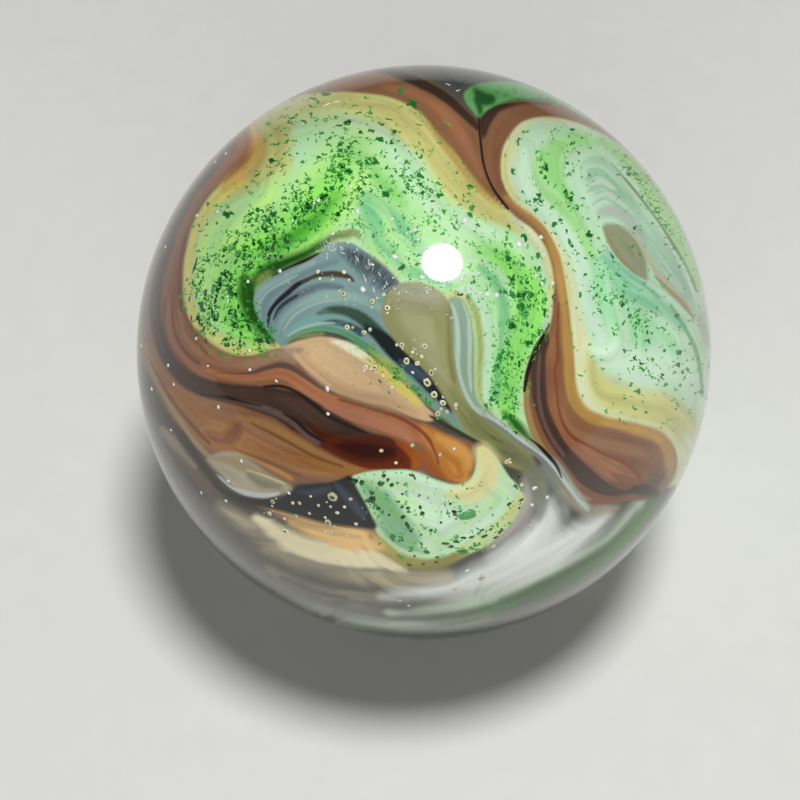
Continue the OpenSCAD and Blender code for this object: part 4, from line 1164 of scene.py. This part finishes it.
# %% Lay the glasses over each other
colour = opaque(GLASS["smoke"])
for number, layer in enumerate(layers):
    if layer["line"]:
        off_middle = add(tree, "ShaderNodeMath", {0: reading(tree, layer["name"] + " side")},
            operation="ABSOLUTE")
        depth = add(tree, "ShaderNodeMath", {0: reading(tree, layer["name"] + " width"), 1: off_middle},
            operation="SUBTRACT")
    else:
        depth = reading(tree, layer["name"])
    kind = next(name for name, limit, *_ in EDGE_KINDS if layer["soft"] < limit)
    channel = ("Red", "Green", "Blue")[number % 3]
    shifted = add(tree, "ShaderNodeMath", {0: depth, 1: shifts[channel, kind]}, operation="ADD")
    blur = layer["soft"] * UNIT
    share = add(tree, "ShaderNodeMapRange", {"Value": shifted, "From Min": -blur, "From Max": blur,
        "To Max": layer["cover"]}, interpolation_type="SMOOTHSTEP")
    tone = opaque(GLASS[layer["glass"]])
    if layer["streak"] != layer["glass"]:
        tone = add(tree, "ShaderNodeMix", {0: streak_share, 6: tone, 7: opaque(GLASS[layer["streak"]])},
            output=2, data_type="RGBA")
    colour = add(tree, "ShaderNodeMix", {0: share, 6: colour, 7: tone}, output=2, data_type="RGBA")
print("nodes so far:", len(tree.nodes))

# %% [markdown]
# ## Fine streaks and mottling
# A gather is never evenly coloured. The comb's third channel makes each glass a little
# lighter and darker in streaks along the flow, and a wide soft noise does so in patches.

# %% Fine streaks and mottling
MOTTLE_SCALE = 0.5               # patches per mm
STREAK_TONES = (0.86, 1.13)      # the darkest and the lightest streak
MOTTLE_TONES = (0.94, 1.06)      # and patch
place_mm = add(tree, "ShaderNodeVectorMath", {0: place, 1: (1 / MM, 1 / MM, 1 / MM)},
    operation="MULTIPLY")
mottle = add(tree, "ShaderNodeTexNoise", {"Vector": place_mm, "Scale": MOTTLE_SCALE, "Detail": 1.0})
streak_value = add(tree, "ShaderNodeMapRange", {"Value": comb_parts["Blue"], "From Min": 0.3,
    "From Max": 0.7, "To Min": STREAK_TONES[0], "To Max": STREAK_TONES[1]})
mottle_value = add(tree, "ShaderNodeMapRange", {"Value": mottle, "From Min": 0.25, "From Max": 0.75,
    "To Min": MOTTLE_TONES[0], "To Max": MOTTLE_TONES[1]})
value = add(tree, "ShaderNodeMath", {0: streak_value, 1: mottle_value}, operation="MULTIPLY")
colour = add(tree, "ShaderNodeVectorMath", {0: colour, "Scale": value}, operation="SCALE")
print("nodes with streaks:", len(tree.nodes))

# %% [markdown]
# ## Green mica flakes in the glass
# The flakes are thin chips of green mica, 0.1 to 0.3 mm across, drawn out a little along the
# flow. As separate forms they would be thousands of meshes within the glass, so they are
# cells of a noise in the material. Flow coordinates that wrap round a chosen middle turn
# them with the swirl. Four sizes are laid over each other, the small ones in the most
# places. Crowded flakes lie deeper and look darker.

# %% Green mica flakes
FLAKE_STRETCH = 1.25     # a flake's length along the flow for its width
CLUMP_SCALE = 1.9        # clumps per mm
CLUMP_SHARES = (0.12, 2.0)       # the share between clumps and in them, for the share that was sown
SHAKE_SCALE = 10.0       # bends per mm in a flake's outline
SHAKE = 0.17             # mm that they reach out
PALE_ALONE = 0.55        # how pale a single flake is
DARK_IN_CROWD = -0.75    # how fast flakes darken where the share rises
FLAKE_SPREAD = 0.7       # how much single flakes differ in tone
FLAKE_SIZES = (
    # cells per mm, a flake's size in its cell, its part of the share, and its darkest and palest tone
    (12.0, 0.36, 1.2, "126a1c", "5cb852"),
    (7.6, 0.32, 0.85, "085012", "3e9c44"),
    (5.0, 0.30, 0.50, "033e0b", "2a883a"),
    (3.0, 0.27, 0.18, "023607", "207430"),
)
flow = add(tree, "ShaderNodeAttribute", output="Vector", attribute_name="flow")
drawn_out = add(tree, "ShaderNodeVectorMath", {0: flow, 1: (1 / FLAKE_STRETCH, 1.0, 1.0)},
    operation="MULTIPLY")
flake_chance = reading(tree, "flake share")
clump = add(tree, "ShaderNodeTexNoise", {"Vector": drawn_out, "Scale": CLUMP_SCALE, "Detail": 2.0,
    "Roughness": 0.6}, noise_dimensions="2D")
clumped = add(tree, "ShaderNodeMapRange", {"Value": clump, "From Min": 0.38, "From Max": 0.64,
    "To Min": CLUMP_SHARES[0], "To Max": CLUMP_SHARES[1]})
chance = add(tree, "ShaderNodeMath", {0: flake_chance, 1: clumped}, operation="MULTIPLY")
shake = add(tree, "ShaderNodeTexNoise", {"Vector": drawn_out, "Scale": SHAKE_SCALE, "Detail": 1.0},
    output="Color", noise_dimensions="2D")
shake_centred = add(tree, "ShaderNodeVectorMath", {0: shake, 1: (0.5, 0.5, 0.5)}, operation="SUBTRACT")
shaken = add(tree, "ShaderNodeVectorMath", {0: shake_centred, 1: (SHAKE, SHAKE, 0.0), 2: drawn_out},
    operation="MULTIPLY_ADD")
paleness = add(tree, "ShaderNodeMath", {0: flake_chance, 1: DARK_IN_CROWD, 2: PALE_ALONE},
    operation="MULTIPLY_ADD")


def flakes(tree, below, chance, per_mm, size, share_scale, dark, light):
    """Flat specks drawn out along the flow, more of them and deeper where the share is higher."""
    cells = add(tree, "ShaderNodeTexVoronoi", {"Vector": shaken, "Scale": per_mm, "Randomness": 1.0},
                voronoi_dimensions="2D", distance="CHEBYCHEV").node.outputs
    parts = add(tree, "ShaderNodeSeparateColor", {"Color": cells["Color"]}).node.outputs
    there = add(tree, "ShaderNodeMath", {0: parts["Red"], 1: add(tree, "ShaderNodeMath", {0: chance,
        1: share_scale}, operation="MULTIPLY")}, operation="LESS_THAN")
    reach = add(tree, "ShaderNodeMath", {0: parts["Green"], 1: size * 0.7, 2: size * 0.5},
        operation="MULTIPLY_ADD")
    near = add(tree, "ShaderNodeMath", {0: reach, 1: cells["Distance"]}, operation="SUBTRACT")
    mask = add(tree, "ShaderNodeMapRange", {"Value": near, "From Min": -0.04, "From Max": 0.06})
    both = add(tree, "ShaderNodeMath", {0: mask, 1: there}, operation="MULTIPLY")
    lightness = add(tree, "ShaderNodeMath", {0: parts["Blue"], 1: FLAKE_SPREAD, 2: paleness},
        operation="MULTIPLY_ADD")
    tone = add(tree, "ShaderNodeMix", {0: lightness, 6: opaque(dark), 7: opaque(light)}, output=2,
        data_type="RGBA")
    return add(tree, "ShaderNodeMix", {0: both, 6: below, 7: tone}, output=2, data_type="RGBA")


for per_mm, size, part, dark, light in FLAKE_SIZES:
    colour = flakes(tree, colour, chance, per_mm, size, part, dark, light)
print("nodes with flakes:", len(tree.nodes))

# %% [markdown]
# ## Frosted skin, painted sheen and the finish
# Frost is fine pale scratches that fan out from the window, with pits between them. Round the
# lamp's image the same pale scratches and pits are painted sheen. Over it all lies the fire
# polish: IOR 1.52 as in soda-lime glass, and a very low roughness. A thin rougher coat stands
# for the faint bloom that a handled marble has.

# %% Frosted skin and polish
SCRATCHES_ROUND = 11.0   # fine scratches per mm round the window
SCRATCHES_OUT = 1.7      # and per mm away from it
SCRATCH_SHARE = 0.85     # how much of the glass under it a scratch hides
PIT_SIZE = (9.0, 0.20, 0.55)     # cells per mm, a pit's size in its cell, its part of the share
GLASS_IOR = 1.52         # soda-lime glass
POLISH = 0.05            # roughness left by the fire polish
BLOOM = 0.22             # the weight of the handled skin's coat
BLOOM_ROUGHNESS = 0.3
frost_and_sheen_chance = reading(tree, "frost and sheen share")
radial = add(tree, "ShaderNodeVectorMath", {0: flow, 1: (SCRATCHES_ROUND, SCRATCHES_OUT, 1.0)},
    operation="MULTIPLY")
scratch = add(tree, "ShaderNodeTexNoise", {"Vector": radial, "Scale": 1.0, "Detail": 2.0,
    "Roughness": 0.65}, noise_dimensions="2D")
scratched = add(tree, "ShaderNodeMapRange", {"Value": scratch, "From Min": 0.5, "From Max": 0.78,
    "To Max": SCRATCH_SHARE})
scratched = add(tree, "ShaderNodeMath", {0: scratched, 1: frost_and_sheen_chance}, operation="MULTIPLY")
# pale scratches here and pale pits below: frost, and round the lamp's image painted sheen
colour = add(tree, "ShaderNodeMix", {0: scratched, 6: colour, 7: opaque("d5dbd6")}, output=2,
    data_type="RGBA")
colour = flakes(tree, colour, frost_and_sheen_chance, *PIT_SIZE, "c8d2c4", "f2f6ef")

shader = add(tree, "ShaderNodeBsdfPrincipled", {"Base Color": colour, "Roughness": POLISH,
    "IOR": GLASS_IOR, "Coat Weight": BLOOM, "Coat Roughness": BLOOM_ROUGHNESS})
add(tree, "ShaderNodeOutputMaterial", {"Surface": shader})
skin.materials.append(glass)
print("nodes in the glass:", len(tree.nodes))


# %% [markdown]
# ## Small forms on the skin
# Bubbles and bright chips have a place of their own, so they are small closed forms and not
# noise. A place in view units is carried back through the camera to the ball, and each form
# is let into the skin there.

# %% Place small forms on the skin
def on_skin(x, y):
    """The point of the ball that lies at a place of the plan."""
    away = math.hypot(x - BALL_MIDDLE[0], y - BALL_MIDDLE[1])
    angle = math.atan(away / focal_units)
    reach = CAMERA_DISTANCE * math.cos(angle)
    reach -= math.sqrt(BALL_RADIUS ** 2 - (CAMERA_DISTANCE * math.sin(angle)) ** 2)
    side = (view_right * (x - BALL_MIDDLE[0]) + view_up * (BALL_MIDDLE[1] - y)) / max(away, 1e-6)
    return to_camera * (CAMERA_DISTANCE - reach * math.cos(angle)) + side * reach * math.sin(angle)


def skin_frame(spot):
    """Two directions along the skin and one straight out of it."""
    out = spot.normalized()
    first = out.orthogonal().normalized()
    return first, out.cross(first), out


def dress(form, name, material):
    """Make one piece of many small forms, and let it ride with the ball."""
    bmesh.ops.recalc_face_normals(form, faces=form.faces)
    mesh = bpy.data.meshes.new(name)
    form.to_mesh(mesh)
    form.free()
    mesh.shade_smooth()
    mesh.materials.append(material)
    piece = bpy.data.objects.new(name, mesh)
    bpy.context.scene.collection.objects.link(piece)
    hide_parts("marble")
    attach(piece, "root")
    print(name + ":", len(mesh.polygons), "faces")
    return piece


print("middle of the view lies on the skin at, mm:", [round(v / MM, 2) for v in on_skin(*BALL_MIDDLE)])

# %% [markdown]
# ## Seed bubbles
# Hot glass traps small bubbles, which makers call seeds. They gather in the clear windows
# and show as pale rings with a dark middle, which are painted: the ring as a painted highlight,
# the middle as painted shade. Each is a round flattened form, a little out of true, and some
# have smaller ones beside them. Its own attribute tells the material where the ring lies.

# %% Seed bubbles
SEED_SIDES = 14
SEED_RINGS = 7
SEED_FLATNESS = 0.34     # a seed's height for its width
SEED_SHARE = 0.86        # a form's radius for the drawn one
SEED_ROUGHNESS = 0.06
GRAIN_SCALE = 9          # dents per mm in a ring's edge
GRAIN_SHARE = 0.6        # how far they move it
HOLE_FROM = 3.2          # a seed under this radius has its dark middle filled
WITH_COMPANY = 2.4       # a seed from this radius on may have smaller ones beside it
SEEDS = [
    # in the dark slot and along its green edge: x, y and radius in view units
    (406, 361, 3.2), (417, 363, 2.4), (401, 345, 3), (424, 346, 3), (431, 372, 3), (427, 382, 4),
    (434, 394, 3.6), (443, 402, 3), (456, 404, 2.4), (438, 413, 3), (412, 352, 2), (421, 356, 2.2),
    (447, 411, 2.2), (508, 460, 2.6),
    # in the agate window
    (346, 328, 3), (363, 333, 2.6), (369, 330, 2.2), (371, 302, 3), (386, 308, 3), (342, 295, 3),
    (382, 295, 2.2), (316, 273, 2.2), (342, 273, 2.2), (318, 280, 1.8), (331, 281, 2), (347, 281, 2),
    (370, 265, 2),
    # in the yellow edge of the peach streak
    (365, 368, 2.8), (374, 368, 3), (383, 376, 2.2), (392, 387, 2),
    # in the black window and the caramel below it
    (334, 498, 5.6), (330, 524, 4), (274, 504, 3), (271, 516, 3), (287, 533, 3.8), (334, 535, 2.5),
    (327, 533, 2), (339, 514, 2.2), (327, 519, 1.8), (298, 518, 2), (286, 521, 2), (294, 505, 2),
    (301, 505, 2), (352, 500, 2), (320, 507, 2), (332, 508, 1.8), (346, 508, 2), (311, 515, 2),
    (358, 525, 2.2), (349, 537, 1.6), (312, 498, 1.6),
    # single ones in the fan and the veils
    (413, 445, 2.2), (441, 454, 2), (382, 451, 2), (397, 463, 1.8), (496, 545, 2.8), (484, 578, 2.8),
    (458, 589, 2.2), (403, 601, 2.2), (412, 606, 1.8), (341, 563, 1.6), (624, 547, 2), (523, 483, 2.4),
    (533, 524, 2.4),
]
print("seeds placed:", len(SEEDS))

# %% [markdown]
# ## Seed glass
# Trapped gas bends light away from its edge: a bright ring round a dark middle. Both are
# painted into the base colour, the ring as a painted highlight, the middle and the outer edge
# as painted shade. Small seeds are all ring.

# %% Seed glass
seed_glass, tree = new_material("seed bubble in clear glass")
marked = add(tree, "ShaderNodeAttribute", output="Color", attribute_name="seed")
kept = add(tree, "ShaderNodeSeparateColor", {"Color": marked}).node.outputs
rim, own_tone, hole = (kept[part] for part in ("Red", "Green", "Blue"))
grain = add(tree, "ShaderNodeTexNoise", {"Vector": add(tree, "ShaderNodeTexCoord", output="Object"),
    "Scale": GRAIN_SCALE / MM})
dent = add(tree, "ShaderNodeMath", {0: grain, 1: 0.5}, operation="SUBTRACT")
dent = add(tree, "ShaderNodeMath", {0: dent, 1: GRAIN_SHARE}, operation="MULTIPLY")
rim = add(tree, "ShaderNodeMath", {0: rim, 1: dent}, operation="ADD")
painted_ring_share = add(tree, "ShaderNodeMapRange", {"Value": rim, "From Min": 0.22, "From Max": 0.6},
    interpolation_type="SMOOTHSTEP")
painted_edge_shade_share = add(tree, "ShaderNodeMapRange", {"Value": rim, "From Min": 0.74, "From Max": 1.0},
    interpolation_type="SMOOTHSTEP")
# painted highlight: the pale ring; the dark middle and the darker outer edge below are painted shade
ring = add(tree, "ShaderNodeMix", {0: own_tone, 6: opaque("a9ab84"), 7: opaque("f0eac4")}, output=2,
    data_type="RGBA")
middle = add(tree, "ShaderNodeMix", {0: hole, 6: opaque("45483c"), 7: ring}, output=2, data_type="RGBA")
painted_ring_and_shade = add(tree, "ShaderNodeMix", {0: painted_edge_shade_share, 6: add(tree, "ShaderNodeMix", {0: painted_ring_share, 6: middle,
    7: ring}, output=2, data_type="RGBA"), 7: opaque("77785a")}, output=2, data_type="RGBA")
shader = add(tree, "ShaderNodeBsdfPrincipled", {"Base Color": painted_ring_and_shade, "Roughness": SEED_ROUGHNESS,
    "IOR": GLASS_IOR})
add(tree, "ShaderNodeOutputMaterial", {"Surface": shader})
print("nodes in the seed glass:", len(tree.nodes))

# %% [markdown]
# ## Forming the seeds
# A seed is a few rings of corners closed by two points, which is lighter than a whole sphere.

# %% Form the seeds
rng = np.random.default_rng(7)
form = bmesh.new()
marks = []


def seed(spot, wide, tone, hole):
    """One flattened bubble, a little out of round."""
    first, second, out = skin_frame(spot)
    long, turned = rng.uniform(1.0, 1.25), rng.uniform(0, math.pi)
    rings = []
    for ring in range(1, SEED_RINGS):
        drop = math.pi * ring / SEED_RINGS
        corners = []
        for side in range(SEED_SIDES):
            turn = 2 * math.pi * side / SEED_SIDES
            along = first * math.cos(turn) + second * math.sin(turn)
            reach = wide * (long if math.cos(2 * (turn - turned)) > 0 else 1) * math.sin(drop)
            lift = wide * SEED_FLATNESS * math.cos(drop)
            corners.append(form.verts.new(spot + along * reach + out * lift))
            marks.append((math.sin(drop), tone, hole))
        rings.append(corners)
    top = form.verts.new(spot + out * wide * SEED_FLATNESS)
    bottom = form.verts.new(spot - out * wide * SEED_FLATNESS)
    marks.extend([(0.0, tone, hole)] * 2)
    for side in range(SEED_SIDES):
        after = (side + 1) % SEED_SIDES
        form.faces.new((top, rings[0][side], rings[0][after]))
        form.faces.new((bottom, rings[-1][after], rings[-1][side]))
        for upper, lower in zip(rings, rings[1:]):
            form.faces.new((upper[side], lower[side], lower[after], upper[after]))


for x, y, radius in SEEDS:
    tone = rng.uniform(0.3, 1.0)
    filled = (HOLE_FROM - radius) * 0.9 + rng.uniform(-0.2, 0.2)
    seed(on_skin(x, y), radius * SEED_SHARE * UNIT * MM, tone, min(1, max(0, filled)))
    for _ in range(rng.integers(0, 3) if radius >= WITH_COMPANY else 0):
        turn, away = rng.uniform(0, 2 * math.pi), radius * rng.uniform(1.25, 2.0)
        small = rng.uniform(0.7, 1.4)
        seed(on_skin(x + away * math.cos(turn), y + away * math.sin(turn)), small * UNIT * MM,
            rng.uniform(0.2, 1.0), 1.0)
seeds = dress(form, "seed_bubbles", seed_glass)
keep(seeds.data, "seed", marks)

# %% [markdown]
# ## Mica glints and scratches
# Some chips of mica lie flat in the skin, most of them round the lamp's image. Their flash is
# painted: the chips are not turned towards the lamp, and their near-white colour is a painted
# glint. A scratch is a chip drawn out long and thin, pale with its own frosting. Both are flat
# closed chips with six uneven corners.

# %% Mica glints and scratches
CHIP_HEIGHT = 0.012 * MM
CHIP_CORNERS = 6
SCRATCH_HALF_WIDTH = 0.45
MICA_ROUGHNESS = 0.22
MICA_IOR = 1.58
MICA_GRAIN = 8           # patches per mm
PAINTED_GLINTS = [
    # x, y and radius in view units of the painted glints, round the lamp's image and over the green
    # fields
    (462, 219, 4.2), (412, 230, 2.5), (517, 242, 4.2), (538, 235, 2.5), (542, 252, 2), (540, 282, 2.8),
    (534, 274, 2), (551, 281, 2), (495, 294, 2.8), (486, 293, 2.8), (478, 292, 2), (460, 278, 3.2),
    (442, 285, 2), (420, 277, 3.2), (443, 240, 2.6), (392, 257, 3.6), (361, 290, 3.4), (354, 212, 3.4),
    (389, 219, 2), (411, 229, 2.2), (347, 187, 2), (394, 175, 2), (330, 235, 2), (315, 202, 2.2),
    (311, 205, 2), (290, 222, 2.2), (278, 273, 2), (211, 166, 2.4), (222, 157, 2.2), (194, 219, 2.8),
    (214, 215, 2), (226, 304, 2), (225, 299, 1.8), (246, 284, 2), (266, 258, 1.8),
    # over the browns and the veils
    (327, 390, 3), (328, 415, 2), (151, 393, 2.8), (140, 350, 2), (167, 369, 2.4), (173, 388, 2),
    (195, 342, 2), (207, 369, 2), (248, 353, 2), (249, 372, 2), (276, 383, 2), (218, 410, 2),
    (242, 464, 2), (229, 484, 2), (202, 496, 2), (227, 504, 2), (290, 495, 2), (171, 434, 2),
    (536, 486, 3), (549, 495, 2), (534, 503, 2), (470, 570, 2.4), (455, 448, 1.8), (163, 251, 2.6),
]
SCRATCHES = [
    # from and to, for the fine marks beside the window and the lamp's image
    (318, 109, 326, 105), (326, 105, 336, 103), (298, 127, 301, 125), (353, 256, 357, 263),
    (366, 262, 368, 267), (361, 274, 365, 284), (376, 272, 379, 277), (384, 281, 386, 286),
    (371, 287, 373, 294), (391, 287, 394, 290), (450, 92, 456, 90), (440, 84, 445, 86),
    (326, 246, 330, 249), (331, 243, 333, 248), (327, 252, 334, 251), (338, 247, 341, 251),
    (323, 254, 326, 257), (336, 253, 343, 255),
]
rng = np.random.default_rng(16)
print("glints:", len(PAINTED_GLINTS), "scratches:", len(SCRATCHES))

# %% [markdown]
# ## Mica and its chips
# Mica splits into flat mirrors a few hundredths of a millimetre thick, so it shines evenly.
# Here that shine is painted as a near-white base colour, a painted glint; on the scratches the
# same white is their own frosting. A chip is two uneven faces with a narrow edge between them.

# %% Mica and its chips
mica, tree = new_material("mica chip, split flat")
place = add(tree, "ShaderNodeTexCoord", output="Object")
flake_tone = add(tree, "ShaderNodeTexNoise", {"Vector": place, "Scale": MICA_GRAIN / MM, "Detail": 2.0})
# near-white base colour: a painted glint on the glint chips, and the scratches' own frosting
tone = add(tree, "ShaderNodeMix", {0: flake_tone, 6: opaque("dfe8da"), 7: opaque("ffffff")}, output=2,
    data_type="RGBA")
shader = add(tree, "ShaderNodeBsdfPrincipled", {"Base Color": tone, "Roughness": MICA_ROUGHNESS,
    "IOR": MICA_IOR})
add(tree, "ShaderNodeOutputMaterial", {"Surface": shader})


def chip(form, spot, along, wide, narrow, corners):
    """One flat closed chip, with uneven corners, let half into the skin."""
    out = spot.normalized()
    along = (along - out * along.dot(out)).normalized()
    square = out.cross(along)
    ends = [[], []]
    for corner in range(corners):
        turn = 2 * math.pi * (corner + rng.uniform(-0.25, 0.25)) / corners
        size = rng.uniform(0.75, 1.1)
        edge = spot + along * wide * size * math.cos(turn) + square * narrow * size * math.sin(turn)
        ends[0].append(form.verts.new(edge + out * CHIP_HEIGHT))
        ends[1].append(form.verts.new(edge - out * CHIP_HEIGHT))
    form.faces.new(ends[0])
    form.faces.new(list(reversed(ends[1])))
    for corner in range(corners):
        after = (corner + 1) % corners
        form.faces.new((ends[0][corner], ends[1][corner], ends[1][after], ends[0][after]))


def across_view(degrees):
    """The direction across the view that leans by this angle."""
    return view_right * math.cos(math.radians(degrees)) + view_up * math.sin(math.radians(degrees))


form = bmesh.new()
for x, y, radius in PAINTED_GLINTS:
    wide = radius * UNIT * MM
    turned = across_view(rng.uniform(0, 180))
    chip(form, on_skin(x, y), turned, wide, wide * rng.uniform(0.6, 0.95), CHIP_CORNERS)
for x, y, to_x, to_y in SCRATCHES:
    start, end = on_skin(x, y), on_skin(to_x, to_y)
    chip(form, (start + end).normalized() * BALL_RADIUS, end - start, (end - start).length / 2,
        SCRATCH_HALF_WIDTH * UNIT * MM, CHIP_CORNERS)
dress(form, "painted_glints_and_scratches", mica)

# %% [markdown]
# ## Large green flakes
# The largest flakes are seen one by one, so they get a form each, set along the flow: dark
# where a flake lies flat and near, paler where it lies deeper in the milk.

# %% Places of the large green flakes
FLAKE_CORNERS = 7
FLAKE_GRAIN = 7          # patches per mm
DARK_TONE = -0.2         # paleness of the near flakes
PALE_TONE = 0.45         # and of the deep ones
TONE_SPREAD = 0.15
DARK_FLAKES = [
    # x, y, half length, half width, lean in degrees: in the lower pool
    (385, 476, 2.2, 2, 70), (382, 484, 3.4, 2.8, 20), (389, 480, 2, 1.2, 80), (393, 485, 2.8, 2, 40),
    (373, 493, 2.6, 2.2, 0), (374, 500, 4.2, 3.4, 60), (380, 509, 2.4, 1.9, 10), (399, 483, 1.5, 1.1, 0),
    (400, 502, 1.5, 1.2, 0), (404, 507, 1.9, 1.4, 30), (410, 508, 2.4, 1.6, 20), (405, 517, 3, 1.9, 50),
    (410, 526, 5.6, 1.9, 110), (413, 531, 1.7, 1.3, 0), (422, 507, 2, 1.4, 110), (424, 513, 2.6, 2, 60),
    (404, 494, 1.5, 1.2, 0), (391, 515, 1.3, 1.1, 0), (443, 522, 1.6, 1.1, 80), (433, 530, 1.9, 1.6, 40),
    (456, 511, 3.2, 1.8, 165), (459, 541, 3.6, 1.5, 160), (466, 537, 2.8, 1.4, 165),
    (474, 536, 3, 1.3, 15), (487, 535, 3.4, 1.7, 30), (484, 529, 2.2, 1.2, 25), (498, 536, 3.2, 1.1, 35),
    (493, 528, 2.2, 1.1, 20), (502, 531, 1.8, 1.2, 50), (448, 543, 4.2, 1.3, 170),
    (454, 546, 2.6, 1.6, 160), (429, 552, 3.2, 1.9, 150), (440, 557, 2.2, 1.2, 165),
    (417, 556, 2, 1, 120), (426, 564, 1.8, 1.3, 0), (439, 562, 1.8, 1, 10), (412, 565, 3, 1.4, 160),
    (424, 544, 1.6, 1.2, 120), (511, 502, 3, 1.5, 35), (523, 498, 2.6, 1.2, 30), (521, 506, 1.5, 1.2, 0),
    (514, 475, 1.8, 1.3, 20), (520, 475, 1.9, 0.9, 30), (452, 503, 1.5, 1.2, 30),
    (413, 475, 3.4, 1.2, 165), (416, 478, 2.2, 0.9, 110), (356, 482, 3.8, 2.8, 30),
    (363, 483, 3.2, 2.2, 80),
    # in the green left of the agate window
    (193, 269, 8.5, 1.7, 80), (218, 283, 3.4, 2.6, 70), (229, 283, 2.6, 2, 120), (223, 275, 3, 1.8, 60),
    (229, 291, 3.4, 2.4, 70), (204, 296, 4.2, 2.4, 100), (201, 309, 5.2, 1.7, 105),
    (214, 303, 3.6, 2.2, 70), (228, 315, 2.8, 2.2, 60), (234, 315, 2.6, 1.7, 60),
    (237, 309, 2.6, 1.8, 110), (211, 318, 3.8, 1.3, 125), (217, 318, 2.6, 1.2, 110),
    (198, 325, 2.8, 1.5, 120), (190, 321, 3, 1, 110), (195, 298, 4.2, 1, 85), (188, 302, 3.2, 1.3, 90),
    (203, 331, 2.2, 1.7, 30), (217, 333, 1.6, 1, 100), (233, 328, 4.2, 2.2, 150),
    (240, 336, 2.9, 1.7, 140), (248, 330, 4.4, 1.5, 130), (259, 343, 4.2, 2.1, 170),
    (267, 344, 3.2, 1.8, 150), (239, 344, 1.8, 1.3, 0), (239, 348, 1.7, 1.3, 0), (243, 346, 1.6, 1.2, 0),
    (205, 344, 2.8, 1.8, 130), (195, 338, 2, 1.2, 160), (224, 347, 1.6, 1, 60), (271, 249, 3, 2.2, 60),
    (234, 264, 3.2, 1.9, 60), (221, 259, 2.2, 1.5, 30), (224, 265, 2.4, 1.3, 10), (233, 246, 4, 1.2, 40),
    (272, 238, 2.6, 2, 80), (283, 241, 2.4, 1.8, 60), (286, 243, 1.9, 1.4, 140), (267, 259, 2.2, 1.6, 40),
    (273, 258, 2.2, 1.7, 120), (279, 259, 2.6, 1.6, 10), (250, 265, 2.2, 1.1, 60),
    (247, 268, 2.6, 1.2, 50),
]
PALE_FLAKES = [
    # deeper in the milk of both
    (470, 514, 8.5, 5.6, 20), (474, 547, 3.4, 2.3, 130), (212, 293, 4.6, 3, 80), (258, 258, 2.8, 1.9, 20),
    (407, 484, 2.2, 1.6, 60), (481, 532, 2.6, 1.6, 40), (480, 548, 3, 0.9, 160),
]
print("large flakes:", len(DARK_FLAKES) + len(PALE_FLAKES))

# %% [markdown]
# ## Green mica
# The flakes lie in green glass under the same fire polish, so they are as glossy as the ball.
# A fine grain keeps each flake from being one flat tone.

# %% Large green flakes
mica_green, tree = new_material("green mica flake under fire polish")
marked = add(tree, "ShaderNodeAttribute", output="Color", attribute_name="paleness")
paler = add(tree, "ShaderNodeSeparateColor", {"Color": marked}, output="Red")
uneven = add(tree, "ShaderNodeTexNoise", {"Vector": add(tree, "ShaderNodeTexCoord", output="Object"),
    "Scale": FLAKE_GRAIN / MM, "Detail": 2.0})
paler = add(tree, "ShaderNodeMath", {0: uneven, 1: 0.5, 2: paler}, operation="MULTIPLY_ADD")
tone = add(tree, "ShaderNodeMix", {0: paler, 6: opaque("023608"), 7: opaque("6cbf74")}, output=2,
    data_type="RGBA")
shader = add(tree, "ShaderNodeBsdfPrincipled", {"Base Color": tone, "Roughness": POLISH,
    "IOR": GLASS_IOR})
add(tree, "ShaderNodeOutputMaterial", {"Surface": shader})

form = bmesh.new()
paleness = []
for places, pale in ((DARK_FLAKES, DARK_TONE), (PALE_FLAKES, PALE_TONE)):
    for x, y, long, wide, lean in places:
        chip(form, on_skin(x, y), across_view(lean), long * UNIT * MM, wide * UNIT * MM, FLAKE_CORNERS)
        paleness.extend([(pale + rng.uniform(0, TONE_SPREAD), 0, 0)] * FLAKE_CORNERS * 2)
large_flakes = dress(form, "mica_flakes", mica_green)
keep(large_flakes.data, "paleness", paleness)
